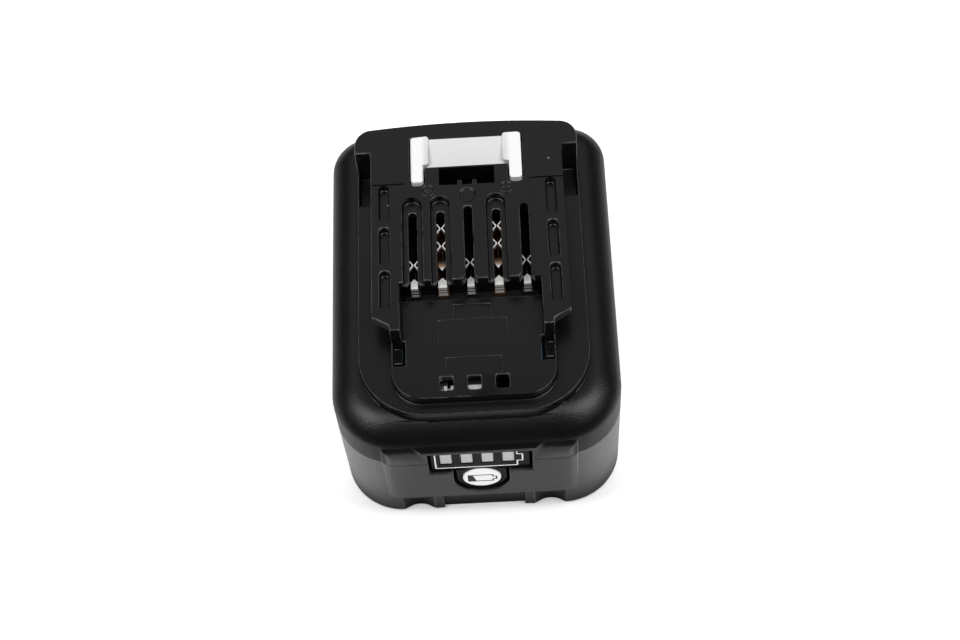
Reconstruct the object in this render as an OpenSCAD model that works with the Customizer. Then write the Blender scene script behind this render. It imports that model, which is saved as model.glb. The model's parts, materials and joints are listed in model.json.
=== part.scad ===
// Slide-on battery pack for cordless tools: two shells, six round cells in
// two layers, a sprung latch, five contact slots and a charge gauge.
// The origin is the middle of the bottom face. +Z is up, -Y is the gauge end.
// Places along Y are measured from the front wall for the cells and the front
// end, and from the rails' datum line for the rails, slots, latch and board.

/* [Housing] */
// Width of the housing at its widest line
body_w = 66.6; // [66.2:0.2:72]
// Length of the housing from the front wall to the rear wall
body_l = 83.5; // [83:0.5:90]
// Radius of the two front corners, seen from above
corner_front_r = 14; // [13:0.5:15]
// Radius of the two rear corners, seen from above
corner_rear_r = 9; // [8.5:0.25:10]
// Thickness of the outer walls
wall_t = 2.2; // [2:0.1:2.4]
// Thickness of the bottom
floor_t = 2.2; // [2:0.1:2.4]
// Height of the parting line between the two shells
parting_z = 28.5; // [28:0.25:29]
// How far the lower wall leans in at its foot
foot_inset = 0.2; // [0.1:0.05:0.5]
// Chamfer round the bottom edge
foot_edge = 0.7; // [0.3:0.1:1]
// Radius of the rounded shoulder
shoulder_r = 7; // [6.5:0.25:7.5]
// Height of the shoulder's crest above the cells' frames
shoulder_rise = 0.8; // [0.6:0.1:1.2]

/* [Front belly] */
// Width of the raised belly on the front wall
belly_w = 45; // [42:0.5:47]
// How far the belly stands out from the front wall
belly_proud = 1; // [0.8:0.1:1.2]
// Width of the slope at each side of the belly
belly_slope = 2.2; // [1:0.1:2.6]
// Height of the belly's lower edge
belly_low_z = 10; // [9:0.25:10.5]
// Height of the belly's upper edge beside the gauge
belly_high_z = 31.8; // [31:0.1:32.5]
// Height of the brow over the gauge
brow_z = 34.2; // [33.8:0.1:34.8]
// Height over which the belly's crest fades into the shoulder
crest_fade = 3.5; // [2.5:0.1:4]
// Half width of the recess between the small feet
foot_gap = 9.7; // [9:0.1:10]
// Width of a small foot
foot_w = 2.4; // [2:0.1:2.6]
// Depth of the recess between the small feet
foot_recess = 1; // [0.6:0.1:1.2]
// Width of a scallop beside a small foot
scallop_w = 7.6; // [7:0.1:8]
// Depth of a scallop
scallop_depth = 1.6; // [1.2:0.1:1.7]

/* [Deck and rails] */
// Height of the top faces above the low deck
rail_h = 6; // [5.8:0.1:6.6]
// Height of the low deck above the plateau
deck_rise = 2.6; // [2.4:0.1:3.2]
// Height of the plateau above the cells' frames
plateau_rise = 3.2; // [3.1:0.1:3.5]
// Thickness of the low deck
deck_t = 2; // [1.6:0.1:2.2]
// Width of the plateau
plateau_w = 52.6; // [52:0.2:53.2]
// Front edge of the plateau, from the front wall
plateau_front = 3.5; // [3:0.1:4]
// Distance from the rails' datum line to the rear block's rear corners
block_back = 75.3; // [75:0.1:75.6]
// Distance from the rear block's rear corners to the rear wall
rear_ledge = 8.2; // [7.9:0.1:8.6]
// Radius of the plateau's front corners
plateau_front_r = 15.3; // [14:0.1:16]
// Radius of the rear block's corners
plateau_rear_r = 4.2; // [3.4:0.1:4.6]
// How far the middle of the rear edge bows out
rear_bow = 1; // [0.6:0.1:1.2]
// Width over the two rail flanges
rail_w = 45; // [44.6:0.1:45.6]
// Width between the rails
rail_gap = 32.3; // [32:0.1:32.5]
// Thickness of a rail's web
web_t = 2.45; // [2.2:0.05:2.6]
// Thickness of a rail's flange
flange_t = 3; // [2.8:0.1:3.2]
// Front end of a rail flange
flange_front = 24.4; // [24:0.1:25]
// Length of the slanted end of a rail flange
flange_slant = 2.4; // [2:0.1:3]
// Front end of a rail's web
web_front = 20.8; // [20.4:0.1:21.2]
// Front end of the low deck, from the front wall
deck_front = 6.25; // [6:0.05:6.5]
// Radius of the low deck's front corners
deck_corner_r = 7; // [6:0.25:8]
// Front face of the rear block
block_front = 68.6; // [68.2:0.1:69]
// Rear end of the lowered rail tops
rail_top_end = 59.7; // [59:0.1:60]
// Depth by which the rail tops lie lower
rail_top_drop = 0.3; // [0.2:0.05:0.4]
// Half width of the raised panel round the slots
panel_half = 14.6; // [14.5:0.1:15]
// Width of a rail pocket
pocket_w = 2.45; // [2:0.05:2.6]
// Distance from the middle to a rail pocket's centre line
pocket_x = 19.5; // [19.2:0.05:19.8]
// Length of a rail pocket
pocket_l = 10.2; // [9.4:0.1:10.6]
// Distance between the middles of rail pockets
pocket_pitch = 11.6; // [11.4:0.05:11.8]
// Middle of the row of rail pockets
pocket_mid = 42.85; // [42.4:0.05:43.2]
// Depth of a rail pocket
pocket_depth = 2.2; // [1.6:0.1:2.4]
// Length of the well beside the rear block
well_l = 9.1; // [8.4:0.1:9.4]
// Depth of that well below the plateau
well_depth = 2.4; // [1.6:0.1:2.5]
// Length of the window in front of each web
pit_l = 6.1; // [5.6:0.1:6.6]
// How far that window reaches in from the web
pit_reach = 0.7; // [0.5:0.1:1]
// How far that window's floor lies below the plateau
pit_drop = 0.4; // [0.2:0.1:0.6]
// Width of a vent in the deck
vent_w = 3; // [2.6:0.1:3.4]
// Length of a vent in the deck
vent_l = 3.3; // [2.8:0.1:3.6]
// Radius of a vent's corners
vent_r = 0.6; // [0.3:0.1:0.8]
// Distance between the vents
vent_pitch = 6.3; // [6:0.1:6.6]
// Middle of the vents, from the front wall
vent_mid = 9.75; // [9.6:0.05:9.9]
// Depth of the deck's shallow moulded fields
field_depth = 0.25; // [0.15:0.05:0.4]
// Width of the front field
front_field_w = 12.6; // [12:0.2:14]
// Length of the front field
front_field_l = 4.1; // [3.6:0.1:4.4]
// Middle of the front field, from the front wall
front_field_mid = 14.15; // [14:0.05:14.4]
// Width of the middle field
middle_field_w = 15.6; // [15:0.2:17]
// Length of the middle field
middle_field_l = 5.8; // [5.4:0.1:6]
// Middle of the middle field
middle_field_mid = 23; // [22.8:0.05:23.2]
// Width of the rear field
rear_field_w = 8.4; // [8:0.2:9]
// Length of the rear field
rear_field_l = 3.4; // [3:0.1:3.6]
// Middle of the rear field
rear_field_mid = 28.1; // [28:0.05:28.3]
// Height of the polarity marks
mark_h = 0.2; // [0.1:0.05:0.3]
// Radius of a polarity mark
mark_r = 1.65; // [1.5:0.05:1.75]
// Width of a polarity mark's strokes
mark_stroke = 0.4; // [0.3:0.05:0.5]
// Distance from the middle to a polarity mark
mark_x = 9.15; // [9:0.05:9.3]
// Place of the polarity marks
mark_y = 57.4; // [57.3:0.05:57.5]
// Radius of the round dimple between the polarity marks
dimple_r = 1.9; // [1.7:0.05:2]
// Place of that dimple
dimple_y = 55.6; // [55.4:0.05:55.8]

/* [Contact slots] */
// Distance between the contact slots
slot_pitch = 6.5; // [6.4:0.05:6.55]
// Width of a contact slot
slot_w = 1.95; // [1.8:0.05:2.1]
// Rear end of the contact slots
slot_end = 52.6; // [52.2:0.1:53]
// Front face of the slotted roof
slot_front = 33.1; // [32.8:0.1:33.3]
// Widening of a slot at its mouth, to each side
flare_w = 0.7; // [0.4:0.1:0.9]
// Length of that widening
flare_l = 1.2; // [0.8:0.1:1.6]
// Width of the lowered surround of slots 1, 2 and 4
surround_w = 4.6; // [4.4:0.1:4.8]
// Rear end of those surrounds
surround_end = 55.7; // [55.3:0.1:56]
// Depth of those surrounds
surround_depth = 2; // [1.6:0.1:2.2]
// Thickness of the roof over the contacts
roof_t = 3.2; // [3:0.1:3.4]
// Length of the mouth in front of the slots
mouth_l = 1.8; // [1.4:0.1:2.2]
// Thickness of a contact's sheet
leaf_t = 0.3; // [0.3:0.05:0.45]
// Half length of a contact leaf
leaf_half = 1.2; // [1:0.05:1.4]
// Half gap between two leaves at their pinch
leaf_gap = 0.06; // [0.04:0.01:0.12]
// Distance of a leaf's ends from the slot's middle
leaf_open = 0.9; // [0.8:0.05:1.1]
// Distance between leaf pairs on a power contact
leaf_pitch = 4.8; // [4.6:0.1:5]
// Rear leaf pair of a power contact
leaf_rear = 49; // [48.8:0.1:49.4]
// Width of the spade in front of a power contact's leaves
spade_w = 1.7; // [1.5:0.1:1.9]
// Length of that spade
spade_l = 2.6; // [2.2:0.1:3]
// Drop of that spade below the leaves' tops
spade_drop = 1; // [0.6:0.1:2]
// Width of a contact's strip
strip_w = 2.6; // [2.4:0.1:3]
// Width of a power contact's front tip
tip_w = 2; // [1.6:0.1:2.2]
// Width of a signal contact's front tip
signal_tip_w = 1.6; // [1.4:0.1:1.8]
// Front face of a contact's tip
tip_front = 33.7; // [33.6:0.05:33.8]
// Length of a contact's tip
tip_l = 2.6; // [2.2:0.1:2.8]
// Drop of the tip below the roof
tip_drop = 1.4; // [1.2:0.1:1.6]

/* [Cells] */
// Gap between the cells' frames and a side wall
side_room = 1.8; // [1.6:0.05:1.9]
// Gap between neighbouring cells
cell_gap = 0.5; // [0.4:0.05:0.55]
// Distance from the front wall to the cells
cell_front = 9.9; // [9.8:0.05:10.1]
// Distance from the cells to the rear wall
cell_rear = 8.4; // [8.3:0.1:8.8]
// Height of a cell's raised pole
pole_h = 0.4; // [0.35:0.05:0.6]
// Play between a cell and its frame
cell_play = 0.2; // [0.15:0.05:0.25]
// Wall round a cell in its frame
frame_wall = 1; // [0.9:0.05:1.05]
// Length of the front cell frame
frame_front_l = 12; // [11.5:0.25:14]
// Length of the rear cell frame
frame_rear_l = 19; // [18.5:0.25:20]
// Distance from the cells' ends to a frame
frame_setback = 2; // [1.8:0.1:2.2]
// Thickness of a cell link
link_t = 0.3; // [0.2:0.05:0.3]
// Distance from a cell's axis to a link's lower edge
link_low = 4; // [3:0.25:6]
// Width of a link's tab
tab_w = 4; // [3:0.25:5]
// Sideways place of the left tab
tab_left_x = -8.2; // [-8.8:0.1:-7.6]
// Sideways place of the right tab
tab_right_x = 12.2; // [11.9:0.1:12.4]
// Thickness of an insulating sheet
sheet_t = 0.2; // [0.1:0.05:0.25]
// Diameter of a lead
lead_d = 1.6; // [1.4:0.1:1.8]
// Thickness of a cell's card ring
ring_t = 0.3; // [0.2:0.05:0.3]

/* [Board] */
// Thickness of the main board
board_t = 1.6; // [1.4:0.1:1.7]
// Front end of the main board
board_front = 20; // [19.5:0.25:20.5]
// Rear end of the main board
board_rear = 57.4; // [57:0.1:57.6]
// Thickness of the contact carrier's base
carrier_t = 1.2; // [1:0.1:1.3]
// Front face of the contact carrier
carrier_front = 34.4; // [34.3:0.05:34.6]
// How far the carrier's base reaches in front of it
carrier_apron = 3; // [2.6:0.1:3.4]
// Rear face of the contact carrier
carrier_back = 54.6; // [54:0.1:55]
// Width of a power transistor
transistor_w = 4; // [3.6:0.1:4.2]
// Length of a power transistor
transistor_l = 5; // [4.6:0.1:5.4]
// Height of a power transistor
transistor_h = 1.4; // [1.2:0.1:1.6]
// Side of the control chip
chip_side = 4.4; // [4:0.1:4.6]
// Height of the control chip
chip_h = 1.2; // [1:0.1:1.4]
// Width of a capacitor
capacitor_w = 1.2; // [1:0.1:1.4]
// Length of a capacitor
capacitor_l = 2; // [1.6:0.1:2.2]
// Height of a capacitor
capacitor_h = 0.9; // [0.7:0.1:1.1]
// Distance between the capacitors
capacitor_pitch = 2; // [1.8:0.1:2.2]
// Middle of the parts in front of the contacts
parts_mid = 26; // [25.5:0.1:26.5]
// Diameter of the temperature bead
bead_d = 2.2; // [1.8:0.1:2.4]
// Drop of the temperature bead below the board
bead_drop = 2.5; // [2:0.1:2.8]

/* [Latch] */
// Width over the latch's two pads
latch_w = 26; // [25.6:0.1:26.2]
// Width of a latch pad
pad_w = 4.3; // [4:0.1:4.5]
// Width of a latch leg
leg_w = 2.9; // [2.6:0.1:3.1]
// Length of a latch leg with its pad
leg_l = 12.7; // [12.5:0.1:12.9]
// Corner radius of the legs and pads
latch_corner_r = 0.8; // [0.5:0.1:1]
// Rear end of the latch
latch_rear = 71.9; // [71.8:0.05:72.1]
// Distance from the latch's rear end to its bar
bar_back = 0.75; // [0.65:0.05:0.85]
// Length of the bar between the pads
bar_l = 7.05; // [6.95:0.05:7.1]
// Drop of the bar's rear edge below the pads
bar_low = 0.3; // [0.2:0.05:0.5]
// Length of the bar's level strip
bar_level = 1.5; // [1:0.1:2]
// Further drop of the bar's front edge
bar_drop = 1.2; // [0.8:0.1:1.4]
// How far the latch stands above the top face
latch_proud = 1; // [0.8:0.1:1.2]
// Gap round the latch in its opening
latch_play = 0.35; // [0.3:0.05:0.45]
// How far the latch is pressed down
latch_travel = 4; // [3.6:0.1:4]
// Thickness of the latch's retainer
retainer_t = 1; // [0.9:0.05:1.1]
// Half width of the window in front of the bar
window_half = 6.5; // [6:0.1:6.8]
// Length of that window
window_l = 4.7; // [4.2:0.1:4.8]
// Width of a rib in that window
rib_w = 1.1; // [0.8:0.1:1.3]
// Distance from the middle to a rib
rib_x = 1.75; // [1.6:0.05:2]
// Width of the release button
button_w = 22; // [20:0.5:23]
// Distance of the release button's face inside the rear wall
button_sunk = 1; // [0.8:0.1:1.3]
// Height of the release button's face
button_h = 8; // [7:0.25:8.5]
// Thickness of the release button's neck
neck_t = 1.6; // [1.4:0.1:1.8]
// Radius of a grip rib on the release button
grip_r = 0.5; // [0.3:0.05:0.6]
// Distance between the grip ribs
grip_pitch = 1.9; // [1.7:0.05:2.1]
// Outer diameter of a latch spring
spring_d = 4; // [3.8:0.1:4.2]
// Wire of a latch spring
spring_wire = 0.5; // [0.4:0.05:0.55]
// Curls of a latch spring
spring_curls = 4; // [3:1:5]
// Thickness of the latch over its springs
spring_cap = 0.6; // [0.5:0.05:0.8]
// Height of a spring's pin
pin_h = 1.2; // [1:0.1:1.6]

/* [Gauge] */
// Width of the gauge opening
gauge_w = 24; // [23.6:0.2:24.6]
// Lower edge of the gauge opening
gauge_low_z = 23; // [22.8:0.1:23.4]
// Upper edge of the gauge opening
gauge_high_z = 33; // [32.8:0.1:33.2]
// Width of the lobe round the check button
lobe_w = 13; // [12.8:0.1:13.4]
// Height of the check button's middle
check_z = 18.6; // [18.4:0.05:18.8]
// Diameter of the check button
check_d = 9; // [8.6:0.1:9.1]
// How far the check button stands in front of the panel
check_proud = 0.3; // [0.2:0.05:0.4]
// Thickness and width of the check button's rim
check_rim = 0.8; // [0.7:0.05:0.9]
// How far the check button is pressed
check_travel = 0.5; // [0.3:0.05:0.5]
// Distance of the gauge panel behind the belly's face
panel_sunk = 0.8; // [0.6:0.05:0.9]
// Gap round the gauge panel in its opening
gauge_play = 0.6; // [0.4:0.05:0.7]
// Thickness and width of the gauge panel's flange
panel_flange = 1; // [0.9:0.05:1.1]
// Diameter of a post on the gauge panel
post_d = 2; // [1.6:0.1:2.2]
// Width of a gauge window
led_w = 2.9; // [2.6:0.1:3]
// Height of a gauge window
led_h = 5; // [4.6:0.1:5.2]
// Distance between the gauge windows
led_pitch = 4.8; // [4.6:0.05:4.9]
// Sideways place of the gauge windows' row
led_shift = -0.7; // [-0.9:0.1:-0.4]
// Rise of the gauge windows above the opening's middle
led_rise = 0.9; // [0.7:0.1:1]
// Distance of a lens behind the panel's face
lens_sunk = 0.15; // [0.1:0.05:0.3]
// Play round a lens in its window
lens_play = 0.1; // [0.05:0.05:0.15]
// Width of a gauge light
light_w = 1.6; // [1.4:0.1:1.8]
// Height of a gauge light
light_h = 0.8; // [0.7:0.05:0.9]
// Thickness of a gauge light
light_t = 0.8; // [0.6:0.05:0.9]
// Side of the check switch
switch_side = 6; // [5.6:0.1:6.4]
// Thickness of the check switch
switch_t = 1.8; // [1.6:0.05:1.85]
// Radius of the switch's plunger
plunger_r = 1.6; // [1.4:0.05:1.8]
// Length of the switch's plunger
plunger_l = 1.2; // [1.1:0.05:1.25]
// Thickness of the gauge board
gauge_board_t = 1; // [0.8:0.05:1.05]
// Width of the flat cable
cable_w = 7; // [6:0.25:7.5]
// Thickness of the flat cable
cable_t = 0.3; // [0.2:0.05:0.35]
// Left end of the cable's plug
plug_left = -7.1; // [-7.4:0.1:-6.8]
// Right end of the cable's plug
plug_right = 1.5; // [1.3:0.1:1.8]
// Length and height of the cable's plug
plug_size = 1.6; // [1.4:0.05:1.7]

/* [Screws] */
// Radius of a housing screw's shank
screw_r = 1.2; // [1.1:0.05:1.3]
// Radius of a housing screw's head
screw_head_r = 2.2; // [2:0.05:2.3]
// Thickness of a housing screw's head
screw_head_t = 1.6; // [1.4:0.05:1.7]
// Depth of a head below the bottom face
screw_sunk = 0.4; // [0.2:0.05:0.5]
// Play round a housing screw
screw_play = 0.2; // [0.15:0.05:0.25]
// Length of a housing screw's shank
screw_l = 33; // [32:0.5:34]
// Radius of a screw boss
boss_r = 2.5; // [2.3:0.05:2.6]
// Distance from the middle to the front screws
screw_front_x = 23.5; // [23:0.1:24]
// Front screws, from the front wall
screw_front_y = 6.8; // [6.7:0.05:6.9]
// Distance from the middle to the rear screws
screw_rear_x = 23; // [22:0.1:23.5]
// Rear screws, from the rear wall
screw_rear_y = 5; // [4.8:0.05:5.2]

/* [Hidden] */

$fn = 48;
// Overrun of a cut past the face it opens
over = 0.5;
// Play between neighbouring pieces
fit = 0.3;

body_front = -(body_l - belly_proud) / 2;
body_back = body_front + body_l;
belly_front = body_front - belly_proud;
inner_front = body_front + wall_t;
rail_datum = body_back - rear_ledge - block_back;

// Place along Y of a distance from the front wall
function front_at(distance) = body_front + distance;

// Place along Y of a distance from the rails' datum line
function at(distance) = rail_datum + distance;

// The cells fill the width and the length that the housing leaves them
columns = 3;
cell_d = (body_w - 2 * (wall_t + side_room + frame_wall + cell_play + cell_gap)) / columns;
cell_l = body_l - cell_front - cell_rear;
cell_pitch = cell_d + cell_gap;
cell_start = front_at(cell_front);
cell_end = cell_start + cell_l;
frame_r = cell_d / 2 + cell_play + frame_wall;
cell_low_z = floor_t + fit + frame_r;
cell_high_z = cell_low_z + cell_pitch;
cell_heights = [cell_low_z, cell_high_z];
frame_top_z = cell_high_z + frame_r;
lead_x = cell_pitch / 2 + lead_d / 2 + fit;
lead_z = frame_top_z - 2 * lead_d;

shoulder_z = frame_top_z + shoulder_rise;
plateau_z = frame_top_z + plateau_rise;
deck_z = plateau_z + deck_rise;
top_z = deck_z + rail_h;
pit_z = plateau_z - pit_drop;
gap_half = rail_gap / 2;
web_out = gap_half + web_t;
flange_half = rail_w / 2;
roof_z = top_z - roof_t;
flange_z = top_z - flange_t;
plateau_under_z = plateau_z - wall_t;
deck_under_z = deck_z - deck_t;
chamber_back = at(block_back) - wall_t + rear_bow;

board_z = frame_top_z;
board_top_z = board_z + board_t;
board_half = gap_half - 2 * fit;
carrier_top_z = board_top_z + carrier_t;
leaf_top_z = roof_z - fit;
tip_z = roof_z - tip_drop;

retainer_top_z = board_z + retainer_t;
latch_top_z = top_z + latch_proud;
latch_front = at(latch_rear - leg_l);
bar_rear = at(latch_rear - bar_back);
bar_front = bar_rear - bar_l;
latch_foot_z = retainer_top_z + latch_travel + fit;
latch_lip_z = roof_z - fit;
leg_x = latch_w / 2 - leg_w / 2;
pad_x = latch_w / 2 - pad_w / 2;
spring_y = (bar_front + bar_rear) / 2;
spring_roof_z = latch_lip_z - spring_cap;
spring_rings = 8;
spring_sides = 6;
spring_low_z = retainer_top_z + spring_wire / 2;
spring_high_z = spring_roof_z - spring_wire / 2;
spring_path = [
    for (i = [0:spring_curls * spring_rings])
        let (turn = 360 * i / spring_rings, share = i / (spring_curls * spring_rings))
        [
            (spring_d - spring_wire) / 2 * cos(turn),
            (spring_d - spring_wire) / 2 * sin(turn),
            spring_low_z + share * (spring_high_z - spring_low_z)
        ]
];
echo(spring_gap = (spring_high_z - spring_low_z) / spring_curls - spring_wire);
window_rear = bar_front - 2 * latch_play;
window_front = window_rear - window_l;

neck_z = latch_foot_z + neck_t;
button_out = body_back - button_sunk;
button_in = chamber_back + wall_t + fit;
button_low_z = parting_z + latch_travel + 2 * neck_t;
button_gap_z = button_low_z - latch_travel - fit;

panel_face = belly_front + panel_sunk;
panel_mid = inner_front + fit;
panel_back = panel_mid + panel_flange;
rim_front = panel_back + fit;
plunger_front = rim_front + check_rim + fit;
switch_front = plunger_front + plunger_l - check_travel;
switch_back = switch_front + switch_t;
gauge_board_back = switch_back + gauge_board_t;
led_z = (gauge_low_z + gauge_high_z) / 2 + led_rise;
light_front = switch_back - light_t;

screw_head_z = screw_sunk + screw_head_t;
head_ring_r = screw_head_r + screw_play + wall_t / 2;
head_ring_z = screw_head_z + screw_head_t;
boss_top_z = screw_head_z + screw_l + over;

slot_x = [for (i = [-2:2]) i * slot_pitch];
surround_slots = [-2, -1, 1];
power_pairs = [for (k = [0:1]) at(leaf_rear) - k * leaf_pitch];
spade_y = at(leaf_rear) - 2 * leaf_pitch;
signal_pairs = [spade_y];

shell_colour = "#1c1c1e";
nickel_colour = "#c9c6bd";
copper_colour = "#c98a55";

// Outline of one wall from a corner's axis outwards. reach is the distance to the
// widest line and inset the thickness taken off for the space inside.
module wall_profile(part, reach, inset) {
    lift = inset > 0 ? over : 0;
    if (part == "lower") {
        edge = inset > 0 ? 0 : foot_edge;
        low = inset > 0 ? floor_t : 0;
        polygon([
            [0, low],
            [reach - inset - foot_inset - edge, low],
            [reach - inset - foot_inset, low + edge],
            [reach - inset, parting_z + lift],
            [0, parting_z + lift]
        ]);
    }
    else {
        axis_x = reach - shoulder_r;
        axis_z = shoulder_z - shoulder_r;
        start_z = parting_z - lift;
        translate([0, start_z])
            square([reach - inset, axis_z - start_z]);
        translate([0, start_z])
            square([axis_x, shoulder_z - inset - start_z]);
        intersection() {
            translate([axis_x, axis_z])
                circle(shoulder_r - inset);
            translate([0, start_z])
                square([reach, shoulder_z - start_z]);
        }
    }
}

// The housing's body: round corners, straight walls between them
module body_form(part, inset) {
    front_axis = body_front + corner_front_r;
    rear_axis = body_back - corner_rear_r;
    front_half = body_w / 2 - corner_front_r;
    rear_half = body_w / 2 - corner_rear_r;
    for (side = [-1, 1]) {
        translate([side * front_half, front_axis, 0])
            rotate_extrude()
                wall_profile(part, corner_front_r, inset);
        translate([side * rear_half, rear_axis, 0])
            rotate_extrude()
                wall_profile(part, corner_rear_r, inset);
    }
    translate([0, rear_axis, 0])
        rotate([90, 0, 0])
            linear_extrude(rear_axis - front_axis)
                for (side = [0, 1])
                    mirror([side, 0])
                        wall_profile(part, body_w / 2, inset);
    translate([front_half, front_axis, 0])
        rotate([90, 0, -90])
            linear_extrude(2 * front_half)
                wall_profile(part, corner_front_r, inset);
    translate([-rear_half, rear_axis, 0])
        rotate([90, 0, 90])
            linear_extrude(2 * rear_half)
                wall_profile(part, corner_rear_r, inset);
}

// A box given by its two corners
module block(low, high) {
    translate(low)
        cube(high - low);
}

// A rectangle given by its two corners
module field(low, high) {
    translate(low)
        square(high - low);
}

// A rectangle whose front and rear corners have their own radii
module round_field(w, front, back, front_r, rear_r) {
    field([-w / 2, front + front_r], [w / 2, back - rear_r]);
    field([-w / 2 + front_r, front], [w / 2 - front_r, back - rear_r]);
    field([-w / 2 + rear_r, front + front_r], [w / 2 - rear_r, back]);
    for (side = [-1, 1]) {
        translate([side * (w / 2 - front_r), front + front_r])
            circle(front_r);
        translate([side * (w / 2 - rear_r), back - rear_r])
            circle(rear_r);
    }
}

// A slot with round ends along Y
module long_slot(w, front, back) {
    field([-w / 2, front + w / 2], [w / 2, back - w / 2]);
    for (y = [front + w / 2, back - w / 2])
        translate([0, y])
            circle(w / 2);
}

// Raises a plan from one height to another
module raise(low, high) {
    translate([0, 0, low])
        linear_extrude(high - low)
            children();
}

// Draws a front view backwards, from one place along Y to another
module from_front(front, back) {
    translate([0, back, 0])
        rotate([90, 0, 0])
            linear_extrude(back - front)
                children();
}

// Draws a side view of Y and Z across, from one X to another
module from_side(low, high) {
    translate([low, 0, 0])
        rotate([90, 0, 90])
            linear_extrude(high - low)
                children();
}

// Makes a piece and its mirror image
module both_sides() {
    for (side = [0, 1])
        mirror([side, 0, 0])
            children();
}

// Outline of the plateau and the rear block, with the bowed rear edge
module plateau_outline() {
    chord = plateau_w / 2 - plateau_rear_r;
    bow_r = (chord * chord + rear_bow * rear_bow) / (2 * rear_bow);
    back = at(block_back);
    round_field(plateau_w, front_at(plateau_front), back, plateau_front_r, plateau_rear_r);
    intersection() {
        translate([0, back + rear_bow - bow_r])
            circle(bow_r, $fn = 200);
        field([-chord, back - plateau_rear_r], [chord, back + 2 * rear_bow]);
    }
}

// The raised belly on the front wall, between two heights. fade is the height over
// which its top leans back to the wall.
module belly(w, low_z, high_z, fade) {
    outer = w / 2;
    inner = w / 2 - belly_slope;
    root = body_front + wall_t / 2;
    intersection() {
        raise(low_z, high_z + fade)
            polygon([
                [-outer, root], [-outer, body_front], [-inner, belly_front],
                [inner, belly_front], [outer, body_front], [outer, root]
            ]);
        from_side(-outer, outer)
            polygon([
                [root, low_z], [belly_front, low_z], [belly_front, high_z],
                [body_front, high_z + fade], [root, high_z + fade]
            ]);
    }
}

// Outline of the gauge opening, seen from the front, grown or shrunk by a margin
module gauge_outline(grow) {
    lobe_half = lobe_w / 2 + grow;
    field([-gauge_w / 2 - grow, gauge_low_z - grow], [gauge_w / 2 + grow, gauge_high_z + grow]);
    field([-lobe_half, check_z], [lobe_half, gauge_low_z]);
    translate([0, check_z])
        circle(lobe_half);
}

// The gauge opening through the front wall, with a level seat behind it
module gauge_cut() {
    from_front(belly_front - over, inner_front + over)
        gauge_outline(0);
    from_front(inner_front, inner_front + wall_t)
        gauge_outline(panel_flange + fit);
}

// Places children at the four housing screws
module at_screws() {
    for (side = [-1, 1]) {
        translate([side * screw_front_x, front_at(screw_front_y), 0])
            children();
        translate([side * screw_rear_x, body_back - screw_rear_y, 0])
            children();
    }
}

module lower_housing() {
    scallop_r = (scallop_w * scallop_w / 4 + scallop_depth * scallop_depth) / (2 * scallop_depth);
    scallop_x = foot_gap + foot_w + scallop_w / 2;
    foot_face = body_front + foot_inset;
    color(shell_colour)
        difference() {
            union() {
                difference() {
                    union() {
                        body_form("lower", 0);
                        belly(belly_w, belly_low_z, parting_z, 0);
                    }
                    body_form("lower", wall_t);
                }
                intersection() {
                    body_form("lower", 0);
                    at_screws() {
                        cylinder(r = boss_r, h = parting_z);
                        cylinder(r = head_ring_r, h = head_ring_z);
                    }
                }
            }
            at_screws() {
                translate([0, 0, -over])
                    cylinder(r = screw_head_r + screw_play, h = screw_head_z + over);
                cylinder(r = screw_r + screw_play, h = parting_z + over);
            }
            for (side = [-1, 1])
                translate([side * scallop_x, foot_face - scallop_r + scallop_depth, -over])
                    cylinder(r = scallop_r, h = belly_low_z + over);
            block([-foot_gap, belly_front - over, -over], [foot_gap, foot_face + foot_recess, belly_low_z]);
            gauge_cut();
        }
}

// The rails, the slotted roof and the low deck that stand on the plateau
module rail_form() {
    root_z = plateau_z - over;
    tail = at(block_front) + over;
    web_y = at(web_front);
    flange_y = at(flange_front);
    raise(flange_z, top_z)
        difference() {
            polygon([
                [-flange_half, tail], [flange_half, tail], [flange_half, flange_y],
                [web_out, flange_y - flange_slant], [web_out, web_y],
                [-web_out, web_y], [-web_out, flange_y - flange_slant], [-flange_half, flange_y]
            ]);
            field([-gap_half, web_y - over], [gap_half, at(slot_front)]);
        }
    raise(root_z, flange_z + over)
        difference() {
            field([-web_out, web_y], [web_out, tail]);
            field([-gap_half, web_y - over], [gap_half, at(slot_front)]);
        }
    raise(root_z, deck_z)
        round_field(2 * web_out, front_at(deck_front), tail, deck_corner_r, over);
}

// The spaces inside the upper shell
module upper_spaces() {
    well_front = at(block_front - well_l);
    body_form("upper", wall_t);
    // Under the plateau, narrower beside the wells of the rear block
    raise(parting_z, plateau_under_z)
        round_field(plateau_w - 2 * wall_t, front_at(plateau_front) + wall_t, well_front - wall_t,
            plateau_front_r - 2 * wall_t, over);
    block([-flange_half + wall_t, well_front - 2 * wall_t, parting_z],
        [flange_half - wall_t, chamber_back, plateau_under_z]);
    // Under the low deck
    raise(parting_z, deck_under_z)
        round_field(rail_gap, front_at(deck_front) + deck_t, at(slot_front), deck_corner_r - deck_t, over);
    // Under the slotted roof and in the rear block, open in front of the slots
    block([-gap_half, at(slot_front - mouth_l), parting_z], [gap_half, chamber_back, roof_z]);
}

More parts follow.
